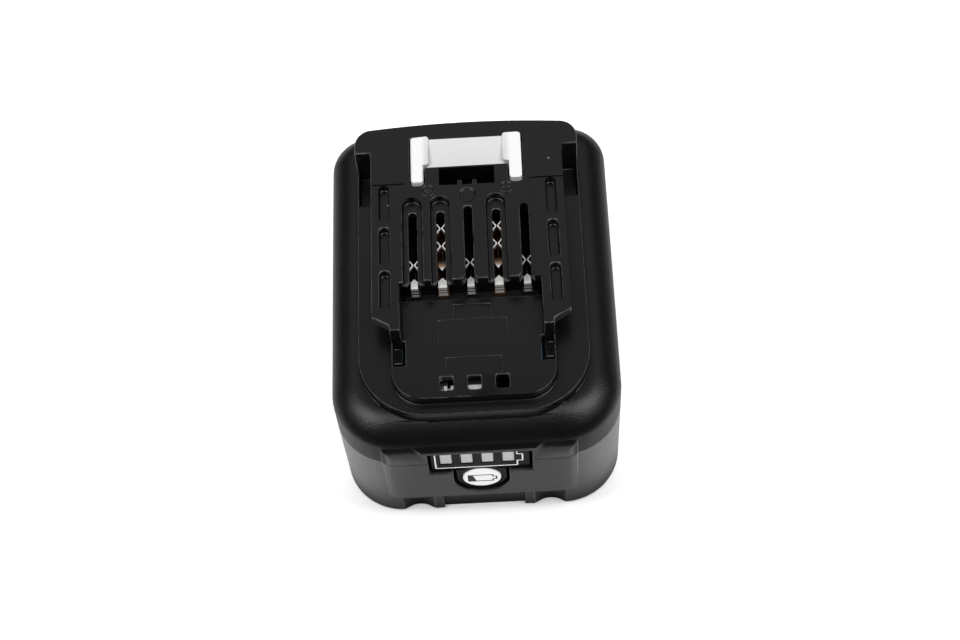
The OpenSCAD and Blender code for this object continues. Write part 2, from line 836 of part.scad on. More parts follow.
// Cuts in one half of the upper shell's top
module half_top_cuts() {
    pit_front = at(web_front - pit_l);
    // Lowered rail top
    block([panel_half, at(web_front) - over, top_z - rail_top_drop],
        [flange_half + over, at(rail_top_end), top_z + over]);
    // Rail pockets
    for (i = [-1:1])
        translate([pocket_x, at(pocket_mid) + i * pocket_pitch, 0])
            raise(top_z - pocket_depth, top_z + over)
                long_slot(pocket_w, -pocket_l / 2, pocket_l / 2);
    // Well beside the rear block
    block([flange_half, at(block_front - well_l), plateau_z - well_depth],
        [plateau_w / 2 - fit, at(block_front), top_z + over]);
    // Window in front of the web, with a bar left across it
    difference() {
        block([gap_half - pit_reach, pit_front, pit_z], [web_out - fit, at(web_front), deck_z + over]);
        block([gap_half - over, pit_front + pit_l / 4, pit_z],
            [web_out, pit_front + pit_l / 3, deck_under_z]);
    }
}

// A shallow moulded field on the deck
module deck_field(w, mid, l) {
    block([-w / 2, mid - l / 2, deck_z - field_depth], [w / 2, mid + l / 2, deck_z + over]);
}

// Cuts in the middle of the upper shell's top
module middle_top_cuts() {
    slot_y = at(slot_front);
    // Contact slots, open and flared towards the front
    for (x = slot_x)
        translate([x, 0, 0])
            raise(roof_z - over, top_z + over) {
                long_slot(slot_w, slot_y - slot_w, at(slot_end));
                polygon([
                    [-slot_w / 2 - flare_w, slot_y - over], [slot_w / 2 + flare_w, slot_y - over],
                    [slot_w / 2 + flare_w, slot_y], [slot_w / 2, slot_y + flare_l],
                    [-slot_w / 2, slot_y + flare_l], [-slot_w / 2 - flare_w, slot_y]
                ]);
            }
    for (i = surround_slots)
        translate([i * slot_pitch, 0, 0])
            raise(top_z - surround_depth, top_z + over)
                long_slot(surround_w, slot_y - surround_w, at(surround_end));
    // Vents
    for (i = [-1:1])
        translate([i * vent_pitch, front_at(vent_mid), 0])
            raise(deck_under_z - over, deck_z + over)
                round_field(vent_w, -vent_l / 2, vent_l / 2, vent_r, vent_r);
    deck_field(front_field_w, front_at(front_field_mid), front_field_l);
    deck_field(middle_field_w, at(middle_field_mid), middle_field_l);
    deck_field(rear_field_w, at(rear_field_mid), rear_field_l);
    translate([0, at(dimple_y), top_z - field_depth])
        cylinder(r = dimple_r, h = field_depth + over);
    // Window in front of the latch's bar, with two ribs left in it
    difference() {
        block([-window_half, window_front, roof_z - over], [window_half, window_rear, top_z + over]);
        both_sides()
            block([rib_x - rib_w / 2, window_front - over, roof_z - over],
                [rib_x + rib_w / 2, window_front + window_l / 2, top_z - roof_t / 2]);
    }
    raise(roof_z - over, top_z + over)
        latch_plan(latch_play);
}

// The latch seen from above, grown by a play
module latch_plan(play) {
    corner = latch_corner_r + play;
    both_sides() {
        translate([leg_x, 0])
            round_field(leg_w + 2 * play, latch_front - play, bar_rear, corner, corner);
        translate([pad_x, 0])
            round_field(pad_w + 2 * play, bar_front - play, at(latch_rear) + play, corner, corner);
    }
    field([-pad_x, bar_front - play], [pad_x, bar_rear + play]);
}

// Raised rings with a plus and a minus in them
module polarity_marks() {
    reach = mark_r - 2 * mark_stroke;
    raise(top_z - over, top_z + mark_h) {
        both_sides()
            translate([mark_x, at(mark_y)]) {
                difference() {
                    circle(mark_r);
                    circle(mark_r - mark_stroke);
                }
                square([2 * reach, mark_stroke], center = true);
            }
        translate([-mark_x, at(mark_y)])
            square([mark_stroke, 2 * reach], center = true);
    }
}

module upper_housing() {
    color(shell_colour)
        difference() {
            union() {
                difference() {
                    union() {
                        body_form("upper", 0);
                        belly(belly_w, parting_z, belly_high_z, crest_fade);
                        belly(gauge_w + 2 * (belly_slope + panel_flange), parting_z, brow_z, crest_fade / 2);
                        raise(shoulder_z - shoulder_r, plateau_z)
                            plateau_outline();
                        raise(plateau_z - over, top_z)
                            intersection() {
                                plateau_outline();
                                field([-body_w / 2, at(block_front)], [body_w / 2, body_back]);
                            }
                        rail_form();
                    }
                    upper_spaces();
                    half_top_cuts();
                    mirror([1, 0, 0])
                        half_top_cuts();
                    middle_top_cuts();
                }
                intersection() {
                    body_form("upper", 0);
                    at_screws()
                        raise(parting_z, shoulder_z)
                            circle(boss_r);
                }
                polarity_marks();
            }
            at_screws()
                raise(parting_z - over, boss_top_z)
                    circle(screw_r + screw_play / 2);
            // Opening for the release button in the rear wall
            block([-button_w / 2 - fit, chamber_back - over, button_gap_z],
                [button_w / 2 + fit, body_back + over, neck_z + fit]);
            gauge_cut();
        }
}

module latch_hook() {
    bar_top = latch_top_z - bar_low;
    color("#f4f4f2")
        difference() {
            union() {
                raise(latch_lip_z - over, latch_top_z)
                    both_sides() {
                        translate([leg_x, 0])
                            round_field(leg_w, latch_front, bar_rear, latch_corner_r, latch_corner_r);
                        translate([pad_x, 0])
                            round_field(pad_w, bar_front, at(latch_rear), latch_corner_r, latch_corner_r);
                    }
                // Bar with a sloped top between the pads
                from_side(-pad_x, pad_x)
                    polygon([
                        [bar_front, latch_lip_z - over], [bar_rear, latch_lip_z - over],
                        [bar_rear, bar_top], [bar_rear - bar_level, bar_top],
                        [bar_front, bar_top - bar_drop]
                    ]);
                // Foot below the roof, which stops the latch
                block([-board_half, bar_front, latch_foot_z], [board_half, chamber_back - fit, latch_lip_z]);
                both_sides()
                    translate([leg_x, 0, 0])
                        raise(latch_foot_z, latch_lip_z)
                            field([-leg_w / 2, latch_front + fit], [leg_w / 2, bar_front + over]);
            }
            both_sides()
                translate([leg_x, spring_y, 0])
                    raise(latch_foot_z - over, spring_roof_z)
                        circle(d = spring_d + 2 * fit);
        }
}

module release_button() {
    color(shell_colour) {
        from_side(-button_w / 2, button_w / 2)
            polygon([
                [chamber_back - fit, latch_foot_z], [button_in, latch_foot_z],
                [button_in, button_low_z], [button_out, button_low_z],
                [button_out, button_low_z + button_h], [button_in + neck_t, neck_z],
                [chamber_back - fit, neck_z]
            ]);
        for (i = [1:3])
            translate([0, button_out, button_low_z + i * grip_pitch])
                rotate([0, 90, 0])
                    cylinder(r = grip_r, h = button_w - 2 * neck_t, center = true);
    }
}

module latch_retainer() {
    color("#2a2a2c") {
        block([-board_half, at(board_rear) + fit, board_z], [board_half, chamber_back - fit, retainer_top_z]);
        both_sides()
            translate([leg_x, spring_y, 0])
                raise(retainer_top_z - over, retainer_top_z + pin_h)
                    circle(spring_d / 2 - spring_wire - fit);
    }
}

// A closed tube round a list of points, with a ring of sides at each point
function ring_points(path, sides, r) = [
    for (i = [0:len(path) - 1])
        let (
            ahead = path[min(i + 1, len(path) - 1)] - path[max(i - 1, 0)],
            along = ahead / norm(ahead),
            side = cross(along, [0, 0, 1]),
            across = side / norm(side),
            up = cross(across, along)
        )
        for (k = [0:sides - 1])
            path[i] + r * (cos(360 * k / sides) * across + sin(360 * k / sides) * up)
];

module tube(path, sides, r) {
    last = (len(path) - 1) * sides;
    walls = [
        for (i = [0:len(path) - 2], k = [0:sides - 1])
            let (a = i * sides + k, b = i * sides + (k + 1) % sides)
            each [[a, b, a + sides], [b, b + sides, a + sides]]
    ];
    front = [for (k = [1:sides - 2]) [0, k + 1, k]];
    back = [for (k = [1:sides - 2]) [last, last + k, last + k + 1]];
    polyhedron(ring_points(path, sides, r), concat(walls, front, back));
}

module latch_spring(side) {
    color("#b9bcc0")
        translate([side * leg_x, spring_y, 0])
            tube(spring_path, spring_sides, spring_wire / 2);
}

module latch_spring_left() {
    latch_spring(-1);
}

module latch_spring_right() {
    latch_spring(1);
}

// Insulating carrier with a chamber under each slot
module contact_carrier() {
    chamber_w = strip_w + 2 * fit;
    color("#26282b")
        difference() {
            union() {
                block([-board_half, at(carrier_front), board_top_z],
                    [board_half, at(carrier_back), leaf_top_z]);
                block([-board_half, at(carrier_front - carrier_apron), board_top_z],
                    [board_half, at(carrier_back), carrier_top_z]);
            }
            for (x = slot_x) {
                block([x - chamber_w / 2, at(carrier_front) - over, carrier_top_z],
                    [x + chamber_w / 2, at(slot_end), leaf_top_z + over]);
                // Slot for the contact's leg
                block([x - tip_w / 2 - fit, at(tip_front) - fit, board_top_z - over],
                    [x + tip_w / 2 + fit, at(tip_front) + leaf_t + fit, carrier_top_z + over]);
            }
        }
}

// Two bent leaves that pinch a blade between them
module leaf_pair(y) {
    both_sides()
        translate([0, y, 0])
            raise(carrier_top_z, leaf_top_z)
                polygon([
                    [leaf_gap, 0], [leaf_open, -leaf_half], [leaf_open + leaf_t, -leaf_half],
                    [leaf_gap + leaf_t, 0], [leaf_open + leaf_t, leaf_half], [leaf_open, leaf_half]
                ]);
}

// A pointed block that guides a blade in between the leaves
module spade() {
    raise(carrier_top_z, leaf_top_z - spade_drop)
        polygon([
            [-spade_w / 2, spade_y + spade_l / 2], [spade_w / 2, spade_y + spade_l / 2],
            [spade_w / 2, spade_y], [0, spade_y - spade_l / 2], [-spade_w / 2, spade_y]
        ]);
}

// A contact: a strip on the carrier, its leaf pairs, and a front tip that
// stands on the board and bends back over the strip
module contact(i, pairs, front_w) {
    tip_y = at(tip_front);
    point_y = tip_y + tip_l;
    translate([i * slot_pitch, 0, 0]) {
        for (y = pairs)
            leaf_pair(y);
        block([-strip_w / 2, tip_y, carrier_top_z],
            [strip_w / 2, max(pairs) + leaf_half, carrier_top_z + leaf_t]);
        block([-front_w / 2, tip_y, board_top_z], [front_w / 2, tip_y + leaf_t, tip_z]);
        raise(tip_z - leaf_t, tip_z)
            polygon([
                [-front_w / 2, tip_y], [front_w / 2, tip_y], [front_w / 2, point_y - front_w / 2],
                [0, point_y], [-front_w / 2, point_y - front_w / 2]
            ]);
    }
}

// A power contact, which has a spade as well
module power_contact(i) {
    color(copper_colour) {
        contact(i, power_pairs, tip_w);
        translate([i * slot_pitch, 0, 0])
            spade();
    }
}

module positive_terminal() {
    power_contact(-1);
}

module negative_terminal() {
    power_contact(1);
}

module signal_terminal_left() {
    color(nickel_colour)
        contact(-2, signal_pairs, signal_tip_w);
}

module signal_terminal_middle() {
    color(nickel_colour)
        contact(0, signal_pairs, signal_tip_w);
}

module signal_terminal_right() {
    color(nickel_colour)
        contact(2, signal_pairs, signal_tip_w);
}

module main_board() {
    color("#1f6b3a")
        block([-board_half, at(board_front), board_z], [board_half, at(board_rear), board_top_z]);
}

// A small part that stands on the main board
module board_part(x, y, w, l, h) {
    translate([x - w / 2, y - l / 2, board_top_z])
        cube([w, l, h]);
}

module power_transistors() {
    x = board_half - transistor_w / 2 - fit;
    color("#202022") {
        board_part(-x, at(parts_mid), transistor_w, transistor_l, transistor_h);
        board_part(x, at(parts_mid), transistor_w, transistor_l, transistor_h);
    }
}

module control_chip() {
    color("#17181a")
        board_part(slot_pitch, at(parts_mid), chip_side, chip_side, chip_h);
}

module board_capacitors() {
    color("#b08d5a")
        for (i = [-1:1])
            board_part(i * capacitor_pitch - slot_pitch, at(parts_mid),
                capacitor_w, capacitor_l, capacitor_h);
}

// One round cell, lying along Y with its raised pole at one end
module cell(column, z, turned) {
    color("#2f7fb5")
        translate([column * cell_pitch, (cell_start + cell_end) / 2, z])
            rotate([turned ? 90 : -90, 0, 0]) {
                translate([0, 0, -cell_l / 2])
                    cylinder(d = cell_d, h = cell_l - pole_h);
                cylinder(d = cell_d / 3, h = cell_l / 2);
            }
}

module cell_lower_left() {
    cell(-1, cell_low_z, false);
}

module cell_lower_middle() {
    cell(0, cell_low_z, true);
}

module cell_lower_right() {
    cell(1, cell_low_z, false);
}

module cell_upper_left() {
    cell(-1, cell_high_z, false);
}

module cell_upper_middle() {
    cell(0, cell_high_z, true);
}

module cell_upper_right() {
    cell(1, cell_high_z, false);
}

// Card rings round the raised poles
module cell_end_rings() {
    color("#e9e4d2")
        for (column = [-1:1], z = cell_heights)
            translate([column * cell_pitch, column == 0 ? cell_start + pole_h : cell_end - pole_h, z])
                rotate([column == 0 ? 90 : -90, 0, 0])
                    linear_extrude(ring_t)
                        difference() {
                            circle(cell_d / 2 - frame_wall);
                            circle(cell_d / 6 + fit);
                        }
}

// A frame round the six cells, seen from the front
module frame_face() {
    difference() {
        union() {
            for (column = [-1:1], z = cell_heights)
                translate([column * cell_pitch, z])
                    circle(frame_r);
            field([-cell_pitch, cell_low_z - frame_r], [cell_pitch, frame_top_z]);
            field([-cell_pitch - frame_r, cell_low_z], [cell_pitch + frame_r, cell_high_z]);
        }
        for (column = [-1:1], z = cell_heights)
            translate([column * cell_pitch, z])
                circle(cell_d / 2 + cell_play);
        // Steps that leave the leads and the tops of the outer cells open
        for (side = [0, 1])
            mirror([side, 0])
                field([lead_x - lead_d / 2 - fit, lead_z - lead_d], [body_w / 2, frame_top_z + over]);
    }
}

module cell_frame_front() {
    color("#3a3d40")
        from_front(cell_start + frame_setback, cell_start + frame_setback + frame_front_l)
            frame_face();
}

module cell_frame_rear() {
    color("#3a3d40")
        from_front(cell_end - frame_setback - frame_rear_l, cell_end - frame_setback)
            frame_face();
}

// A strip over the ends of some columns of cells
module link_strip(first, last, low_y) {
    reach = cell_pitch / 2 - fit;
    block([first * cell_pitch - reach, low_y, cell_low_z - link_low],
        [last * cell_pitch + reach, low_y + link_t, cell_high_z + link_low]);
}

// A tab that rises from a front strip and lies on the main board
module link_tab(x) {
    back = at(board_front) + tab_w / 2;
    front = cell_start - link_t;
    from_side(x - tab_w / 2, x + tab_w / 2)
        polygon([
            [front, cell_high_z], [cell_start, cell_high_z], [cell_start, board_top_z],
            [back, board_top_z], [back, board_top_z + link_t], [front, board_top_z + link_t]
        ]);
}

module front_cell_links() {
    color(nickel_colour) {
        link_strip(-1, 0, cell_start - link_t);
        link_strip(1, 1, cell_start - link_t);
        link_tab(tab_left_x);
        link_tab(tab_right_x);
    }
}

module rear_cell_links() {
    color(nickel_colour) {
        link_strip(-1, -1, cell_end);
        link_strip(0, 1, cell_end);
        // Lugs behind the leads
        both_sides()
            block([lead_x - lead_d / 2, cell_end, cell_high_z],
                [lead_x + lead_d, cell_end + link_t, lead_z + lead_d]);
    }
}

// A sheet between the links and the housing
module insulating_sheet(low_y) {
    half = cell_pitch + cell_d / 3;
    block([-half, low_y, cell_low_z - link_low], [half, low_y + sheet_t, cell_high_z + link_low]);
}

module front_insulating_sheet() {
    color("#d8d2bd")
        insulating_sheet(cell_start - link_t - sheet_t);
}

module rear_insulating_sheet() {
    color("#d8d2bd")
        insulating_sheet(cell_end + link_t);
}

// A lead from a rear strip, along the groove between two columns, up to the board
module lead(side) {
    rise_y = at(board_rear) - lead_d;
    translate([side * lead_x, 0, 0]) {
        translate([0, cell_end, lead_z])
            rotate([90, 0, 0])
                cylinder(d = lead_d, h = cell_end - rise_y);
        translate([0, rise_y, lead_z])
            sphere(d = lead_d);
        translate([0, rise_y, lead_z])
            cylinder(d = lead_d, h = board_z - lead_z);
    }
}

module positive_lead() {
    color("#b3201f")
        lead(-1);
}

module sense_lead() {
    color("#e8e8e4")
        lead(1);
}

// Temperature bead under the main board, in the groove between two columns
module thermistor() {
    color("#1d1d1d")
        translate([cell_pitch / 2, (cell_start + cell_end) / 2, board_z - bead_drop]) {
            sphere(d = bead_d);
            cylinder(r = bead_d / 3, h = bead_drop);
        }
}

module gauge_board() {
    half = gauge_w / 2 + fit;
    color("#1f6b3a")
        block([-half, switch_back, check_z - switch_side], [half, gauge_board_back, gauge_high_z - fit]);
}

// Places children at the four gauge windows
module at_windows() {
    for (i = [-1.5:1.5])
        translate([led_shift + i * led_pitch, led_z])
            children();
}

module gauge_lights() {
    color("#e9f1ee")
        from_front(light_front, switch_back)
            at_windows()
                square([light_w, light_h], center = true);
}

// Four lenses on a common bar that stands on the gauge board
module gauge_lenses() {
    bar_half = led_h / 2 - light_h;
    row = 1.5 * led_pitch + led_w / 2;
    color("#cfd3d2") {
        from_front(panel_face + lens_sunk, panel_back + fit)
            at_windows()
                square([led_w - 2 * lens_play, led_h - 2 * lens_play], center = true);
        from_front(panel_back, light_front - fit)
            translate([led_shift, led_z])
                square([2 * row, 2 * bar_half], center = true);
        from_front(panel_back, switch_back)
            translate([led_shift - row, led_z + light_h])
                square([2 * row, bar_half - light_h]);
    }
}

module gauge_panel() {
    post_x = gauge_w / 2 - post_d / 2;
    color("#151517")
        difference() {
            union() {
                from_front(panel_face, panel_mid + over)
                    gauge_outline(-gauge_play);
                from_front(panel_mid, panel_back)
                    gauge_outline(panel_flange);
                // Posts for the gauge board
                from_front(panel_mid, switch_back)
                    both_sides()
                        translate([post_x, gauge_low_z + post_d / 2])
                            circle(d = post_d);
            }
            from_front(panel_face - over, panel_back + over) {
                at_windows()
                    square([led_w, led_h], center = true);
                translate([0, check_z])
                    circle(d = check_d + 2 * fit);
            }
        }
}

module check_switch() {
    color("#2b2b2d")
        difference() {
            from_front(switch_front, switch_back)
                translate([0, check_z])
                    square(switch_side, center = true);
            from_front(switch_front - over, plunger_front + plunger_l + check_travel + fit)
                translate([0, check_z])
                    circle(plunger_r + fit);
        }
}

module switch_plunger() {
    color("#4a4a4c")
        from_front(plunger_front, plunger_front + plunger_l)
            translate([0, check_z])
                circle(plunger_r);
}

module check_button() {
    color("#f3f3f1") {
        from_front(panel_face - check_proud, rim_front + check_rim)
            translate([0, check_z])
                circle(d = check_d);
        from_front(rim_front, rim_front + check_rim)
            translate([0, check_z])
                circle(check_d / 2 + check_rim);
    }
}

// Flat cable from the back of the gauge board up to the main board
module gauge_cable() {
    low = check_z + switch_side;
    front = gauge_board_back;
    back = at(board_front) + tab_w / 2;
    color("#8f9499")
        from_side(-cable_w / 2, cable_w / 2)
            polygon([
                [front, low], [front + cable_t, low], [front + cable_t, board_top_z],
                [back, board_top_z], [back, board_top_z + cable_t], [front, board_top_z + cable_t]
            ]);
}

// Plug on the flat cable, under the vents, with a slot at its left end
module cable_plug() {
    low_z = board_top_z + cable_t;
    front = gauge_board_back + cable_t;
    color("#f0f0ec")
        difference() {
            block([plug_left, front, low_z], [plug_right, front + plug_size, low_z + plug_size]);
            block([plug_left + plug_size / 2, front - over, low_z + plug_size / 4],
                [plug_left + plug_size, front + plug_size + over, low_z + plug_size + over]);
        }
}

module housing_screws() {
    color("#55575a")
        at_screws()
            difference() {
                union() {
                    raise(screw_sunk, screw_head_z)
                        circle(screw_head_r);
                    raise(screw_sunk, screw_head_z + screw_l)
                        circle(screw_r);
                }
                raise(0, screw_head_z - screw_sunk)
                    circle(screw_head_r / 2, $fn = 6);
            }
}

lower_housing();
upper_housing();
latch_hook();
release_button();
latch_retainer();
latch_spring_left();
latch_spring_right();
contact_carrier();
positive_terminal();
negative_terminal();
signal_terminal_left();
signal_terminal_middle();
signal_terminal_right();
main_board();
power_transistors();
control_chip();
board_capacitors();
cell_lower_left();
cell_lower_middle();
cell_lower_right();
cell_upper_left();
cell_upper_middle();
cell_upper_right();
cell_end_rings();
cell_frame_front();
cell_frame_rear();
front_cell_links();
rear_cell_links();
front_insulating_sheet();
rear_insulating_sheet();
positive_lead();
sense_lead();
thermistor();
gauge_board();
gauge_lights();
gauge_lenses();
gauge_panel();
check_switch();
switch_plunger();
check_button();
gauge_cable();
cable_plug();
housing_screws();
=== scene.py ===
"""Looks of a slide-on battery pack for cordless tools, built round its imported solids."""

import functools
import json
import math

import bmesh
import bpy
import numpy as np
from bpy.props import FloatProperty, FloatVectorProperty, IntProperty, PointerProperty
from mathutils import Matrix, Vector
from mathutils.bvhtree import BVHTree


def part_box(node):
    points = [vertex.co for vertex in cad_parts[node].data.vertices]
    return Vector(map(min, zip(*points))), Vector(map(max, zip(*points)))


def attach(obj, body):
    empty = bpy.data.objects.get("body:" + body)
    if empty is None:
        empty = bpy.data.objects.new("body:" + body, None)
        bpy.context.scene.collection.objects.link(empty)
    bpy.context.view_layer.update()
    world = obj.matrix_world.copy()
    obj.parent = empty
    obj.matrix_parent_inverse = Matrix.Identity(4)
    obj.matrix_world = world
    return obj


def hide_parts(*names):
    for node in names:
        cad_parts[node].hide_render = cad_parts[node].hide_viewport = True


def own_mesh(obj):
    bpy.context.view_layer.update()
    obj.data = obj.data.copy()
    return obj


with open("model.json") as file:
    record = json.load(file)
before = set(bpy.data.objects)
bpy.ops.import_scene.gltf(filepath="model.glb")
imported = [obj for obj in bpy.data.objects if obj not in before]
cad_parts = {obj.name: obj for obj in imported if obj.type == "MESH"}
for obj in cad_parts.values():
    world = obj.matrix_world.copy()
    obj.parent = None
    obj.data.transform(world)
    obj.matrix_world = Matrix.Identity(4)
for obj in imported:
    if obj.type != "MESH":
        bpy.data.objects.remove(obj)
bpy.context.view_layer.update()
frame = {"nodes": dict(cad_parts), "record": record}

bl_info = {
    "name": "Battery pack finish",
    "version": (1, 0, 0),
    "blender": (4, 5, 0),
    "location": "3D View > Sidebar > Battery pack",
    "description": "Gives the packed battery pack its edges, prints, springs, materials and studio",
    "category": "Object",
}

MM = 0.001
RECORD_COLOURS = {m["slot"]: m["base_color"] for m in frame["record"]["materials"]}


def colour(name, description, default):
    """A colour that the user may change."""
    return FloatVectorProperty(
        name=name, description=description, subtype="COLOR", size=3, min=0, max=1, default=default
    )


def length(name, description, millimetres):
    """A length that the user may change, given in millimetres."""
    return FloatProperty(
        name=name, description=description, subtype="DISTANCE", unit="LENGTH",
        precision=5, default=millimetres * MM,
    )


def share(name, description, default):
    """A number from 0 to 1 that the user may change."""
    return FloatProperty(name=name, description=description, subtype="FACTOR", min=0, max=1, default=default)


def lamp(name, description, watts):
    """A lamp's strength that the user may change."""
    return FloatProperty(name=name, description=description, unit="POWER", min=0, default=watts)


class PackColours(bpy.types.PropertyGroup):
    """Colours of the pack's finishes"""

    casing: colour("Casing", "Moulded shells and release button", (0.003, 0.003, 0.0031))
    # Wear polishes the rounded edges, and this lighter colour on them is also a painted highlight.
    worn_edge_and_highlight: colour("Worn edge", "Where handling has polished an edge", (0.07, 0.07, 0.071))
    dust: colour("Dust", "Specks that lie on the shells", (0.3, 0.29, 0.27))
    white: colour("White moulding", "Latch and sense lead", (0.78, 0.78, 0.775))
    plug: colour("Plug", "White plug under the vents", (0.5, 0.5, 0.495))
    button: colour("Button", "White check button", (0.88, 0.88, 0.875))
    # Painted shade on the latch's bar between its pads.
    bar_shade: colour("Greyed bar", "Bar of the latch between its pads", (0.56, 0.56, 0.56))
    inner: colour("Inner moulding", "Carrier, frames and retainer", (0.004, 0.004, 0.004))
    panel: colour("Gauge panel", "Label film of the gauge", (0.006, 0.006, 0.006))
    lens: colour("Lens", "Light pipes of the gauge", (0.5, 0.5, 0.5))
    print_white: colour("White print", "Outline printed on the gauge", (0.9, 0.9, 0.9))
    print_dark: colour("Dark print", "Sign printed on the check button", (0.02, 0.02, 0.022))
    nickel: colour("Nickel", "Plated cell links", RECORD_COLOURS["plated_contact"])
    # The plate colour, lightened also as a painted highlight on the contacts' leaf tops and tips.
    bright: colour("Bright plate", "Leaf edges and tips of the contacts", (0.92, 0.92, 0.9))
    copper: colour("Copper", "Bare metal of the power contacts", RECORD_COLOURS["copper_contact"])
    steel: colour("Steel", "Springs and screws", RECORD_COLOURS["spring_steel"])
    board: colour("Board", "Solder mask of the boards", RECORD_COLOURS["circuit_board"])
    wrap: colour("Cell wrap", "Shrink film round the cells", RECORD_COLOURS["cell_wrap"])
    card: colour("Card", "Fibre rings on the cells' ends", RECORD_COLOURS["card"])
    sheet: colour("Sheet", "Fibre sheets in front of and behind the cells", (0.012, 0.012, 0.012))
    cable: colour("Flat cable", "Sleeve of the flat cable", (0.02, 0.02, 0.021))
    lead: colour("Lead", "Sleeve of the positive lead", RECORD_COLOURS["red_insulation"])


class PackDetail(bpy.types.PropertyGroup):
    """Sizes of what the finish adds to the solids"""

    shell_edge: length("Shell edge", "Radius on the edges of the shells", 0.3)
    lip_edge: length("Lip edge", "Radius on the rear lips of the two wells", 1.0)
    latch_edge: length("Latch edge", "Radius on the edges of the latch", 0.35)
    small_edge: length("Small edge", "Radius on the edges of small mouldings", 0.12)
    grain_size: length("Grain", "Size of the grain on the shells", 0.38)
    grain_depth: length("Grain depth", "Depth of that grain", 0.03)
    print_width: length("Print width", "Width of the gauge's printed line", 0.34)
    sign_width: length("Sign width", "Width of the lines on the check button", 0.32)
    print_height: length("Print height", "Thickness of the printed ink", 0.03)
    spring_curls: IntProperty(
        name="Spring curls", description="Curls of a latch spring with its closed ends",
        min=4, max=9, default=6,
    )
    rim: length("Rim", "Height of the parting line", 28.5)
    crest: length("Crest", "Height of the upper shell's shoulder", 43.0)
    draft: share("Draft", "How far the shoulder's wall leans in", 0.3)
    # How much of the edges carry the worn colour, which is also a painted highlight.
    wear: share("Wear", "How much of the edges is polished", 0.6)


class PackStudio(bpy.types.PropertyGroup):
    """Floor, light and camera"""

    floor: colour("Floor", "Plain pale floor", (0.9, 0.9, 0.9))
    # The floor's own glow, which its material dims in front of the pack as a painted shadow.
    glow: FloatProperty(name="Floor glow", description="Light from below the floor", min=0, default=0.45)
    side: lamp("Side lights", "Strength of each soft box", 12.0)
    strip: lamp("Strip", "Strength of the narrow box overhead", 1.2)
    ceiling: lamp("Ceiling", "Strength of the light overhead", 6.7)
    world: FloatProperty(name="Room", description="Strength of the light from all round", min=0, default=0.01)
    lens: FloatProperty(
        name="Focal length", description="Focal length of the camera on a 36 mm sensor",
        unit="CAMERA", subtype="DISTANCE_CAMERA", default=71.93,
    )


class PackSettings(bpy.types.PropertyGroup):
    """All that a user may change"""

    colours: PointerProperty(type=PackColours)
    detail: PointerProperty(type=PackDetail)
    studio: PointerProperty(type=PackStudio)


def settings():
    """The scene's settings for the pack."""
    return bpy.context.scene.battery_pack


# Node trees


def add(tree, kind, wires=None, **options):
    """Adds a node. wires gives each input a value or another node's output."""
    made = tree.nodes.new(kind)
    for key, value in options.items():
        setattr(made, key, value)
    for key, value in (wires or {}).items():
        if isinstance(value, bpy.types.NodeSocket):
            tree.links.new(value, made.inputs[key])
        else:
            made.inputs[key].default_value = value
    return made


def math_node(tree, operation, *values):
    """The output of a Math node."""
    return add(tree, "ShaderNodeMath", dict(enumerate(values)), operation=operation).outputs[0]


def times(tree, first, second):
    """The product of two values."""
    return math_node(tree, "MULTIPLY", first, second)


def vector_node(tree, operation, *values):
    """The outputs of a Vector Math node."""
    return add(tree, "ShaderNodeVectorMath", dict(enumerate(values)), operation=operation).outputs


def axes_of(tree, vector):
    """The X, Y and Z of a vector."""
    return add(tree, "ShaderNodeSeparateXYZ", {0: vector}).outputs[:]


def between(tree, value, start, end, low=0.0, high=1.0):
    """The output of a Map Range node from start..end to low..high."""
    wires = {"Value": value, "From Min": start, "From Max": end, "To Min": low, "To Max": high}
    return add(tree, "ShaderNodeMapRange", wires).outputs["Result"]


def vary(tree, value, low, high):
    """A value of 0..1 brought to low..high."""
    return between(tree, value, 0.0, 1.0, low, high)


def noise(tree, place, scale, detail, **more):
    """The value of a Noise texture."""
    wires = {"Vector": place, "Scale": scale, "Detail": detail, **more}
    return add(tree, "ShaderNodeTexNoise", wires).outputs[0]


def blend(tree, factor, first, second):
    """The output of a colour Mix node."""
    return add(tree, "ShaderNodeMix", {0: factor, 6: first, 7: second}, data_type="RGBA").outputs[2]


def rgba(value, strength=1.0):
    """A colour with full alpha, made darker or lighter by a strength."""
    return (*(min(1.0, c * strength) for c in value), 1.0)


def once(kind, fixed=None):
    """Lets a function make its group or material once. fixed is its name, or else the first value is."""

    def wrap(make):
        @functools.wraps(make)
        def get(*values):
            given = (fixed, *values) if fixed else values
            return getattr(bpy.data, kind).get(given[0]) or make(*given)

        return get

    return wrap


def shader_group(name, **inputs):
    """An empty shader group and its inputs: a number is a value's default, None stands for a vector."""
    group = bpy.data.node_groups.new(name, "ShaderNodeTree")
    for label, default in inputs.items():
        kind = "NodeSocketVector" if default is None else "NodeSocketFloat"
        socket = group.interface.new_socket(label, in_out="INPUT", socket_type=kind)
        if default is not None:
            socket.default_value = default
    return group, group.nodes.new("NodeGroupInput").outputs


def close_group(group, **outputs):
    """Gives a shader group its named outputs."""
    for label in outputs:
        group.interface.new_socket(label, in_out="OUTPUT", socket_type="NodeSocketFloat")
    result = group.nodes.new("NodeGroupOutput")
    for label, value in outputs.items():
        group.links.new(value, result.inputs[label])
    return group


@once("node_groups", "Moulding grain")
def moulding_grain(name):
    """Spark-eroded mould texture: fine pits over slow waves in the gloss."""
    group, get = shader_group(name, Place=None, Scale=3000.0)
    place, scale = get["Place"], get["Scale"]
    pits = add(group, "ShaderNodeTexVoronoi", {"Vector": place, "Scale": scale}, feature="SMOOTH_F1")
    fine = noise(group, place, times(group, scale, 1.7), 3.0, Roughness=0.6)
    slow = noise(group, place, 90.0, 4.0, Roughness=0.55)
    gloss = math_node(group, "ADD", times(group, fine, 0.5), times(group, slow, 0.5))
    return close_group(group, Height=math_node(group, "ADD", pits.outputs["Distance"], fine), Gloss=gloss)


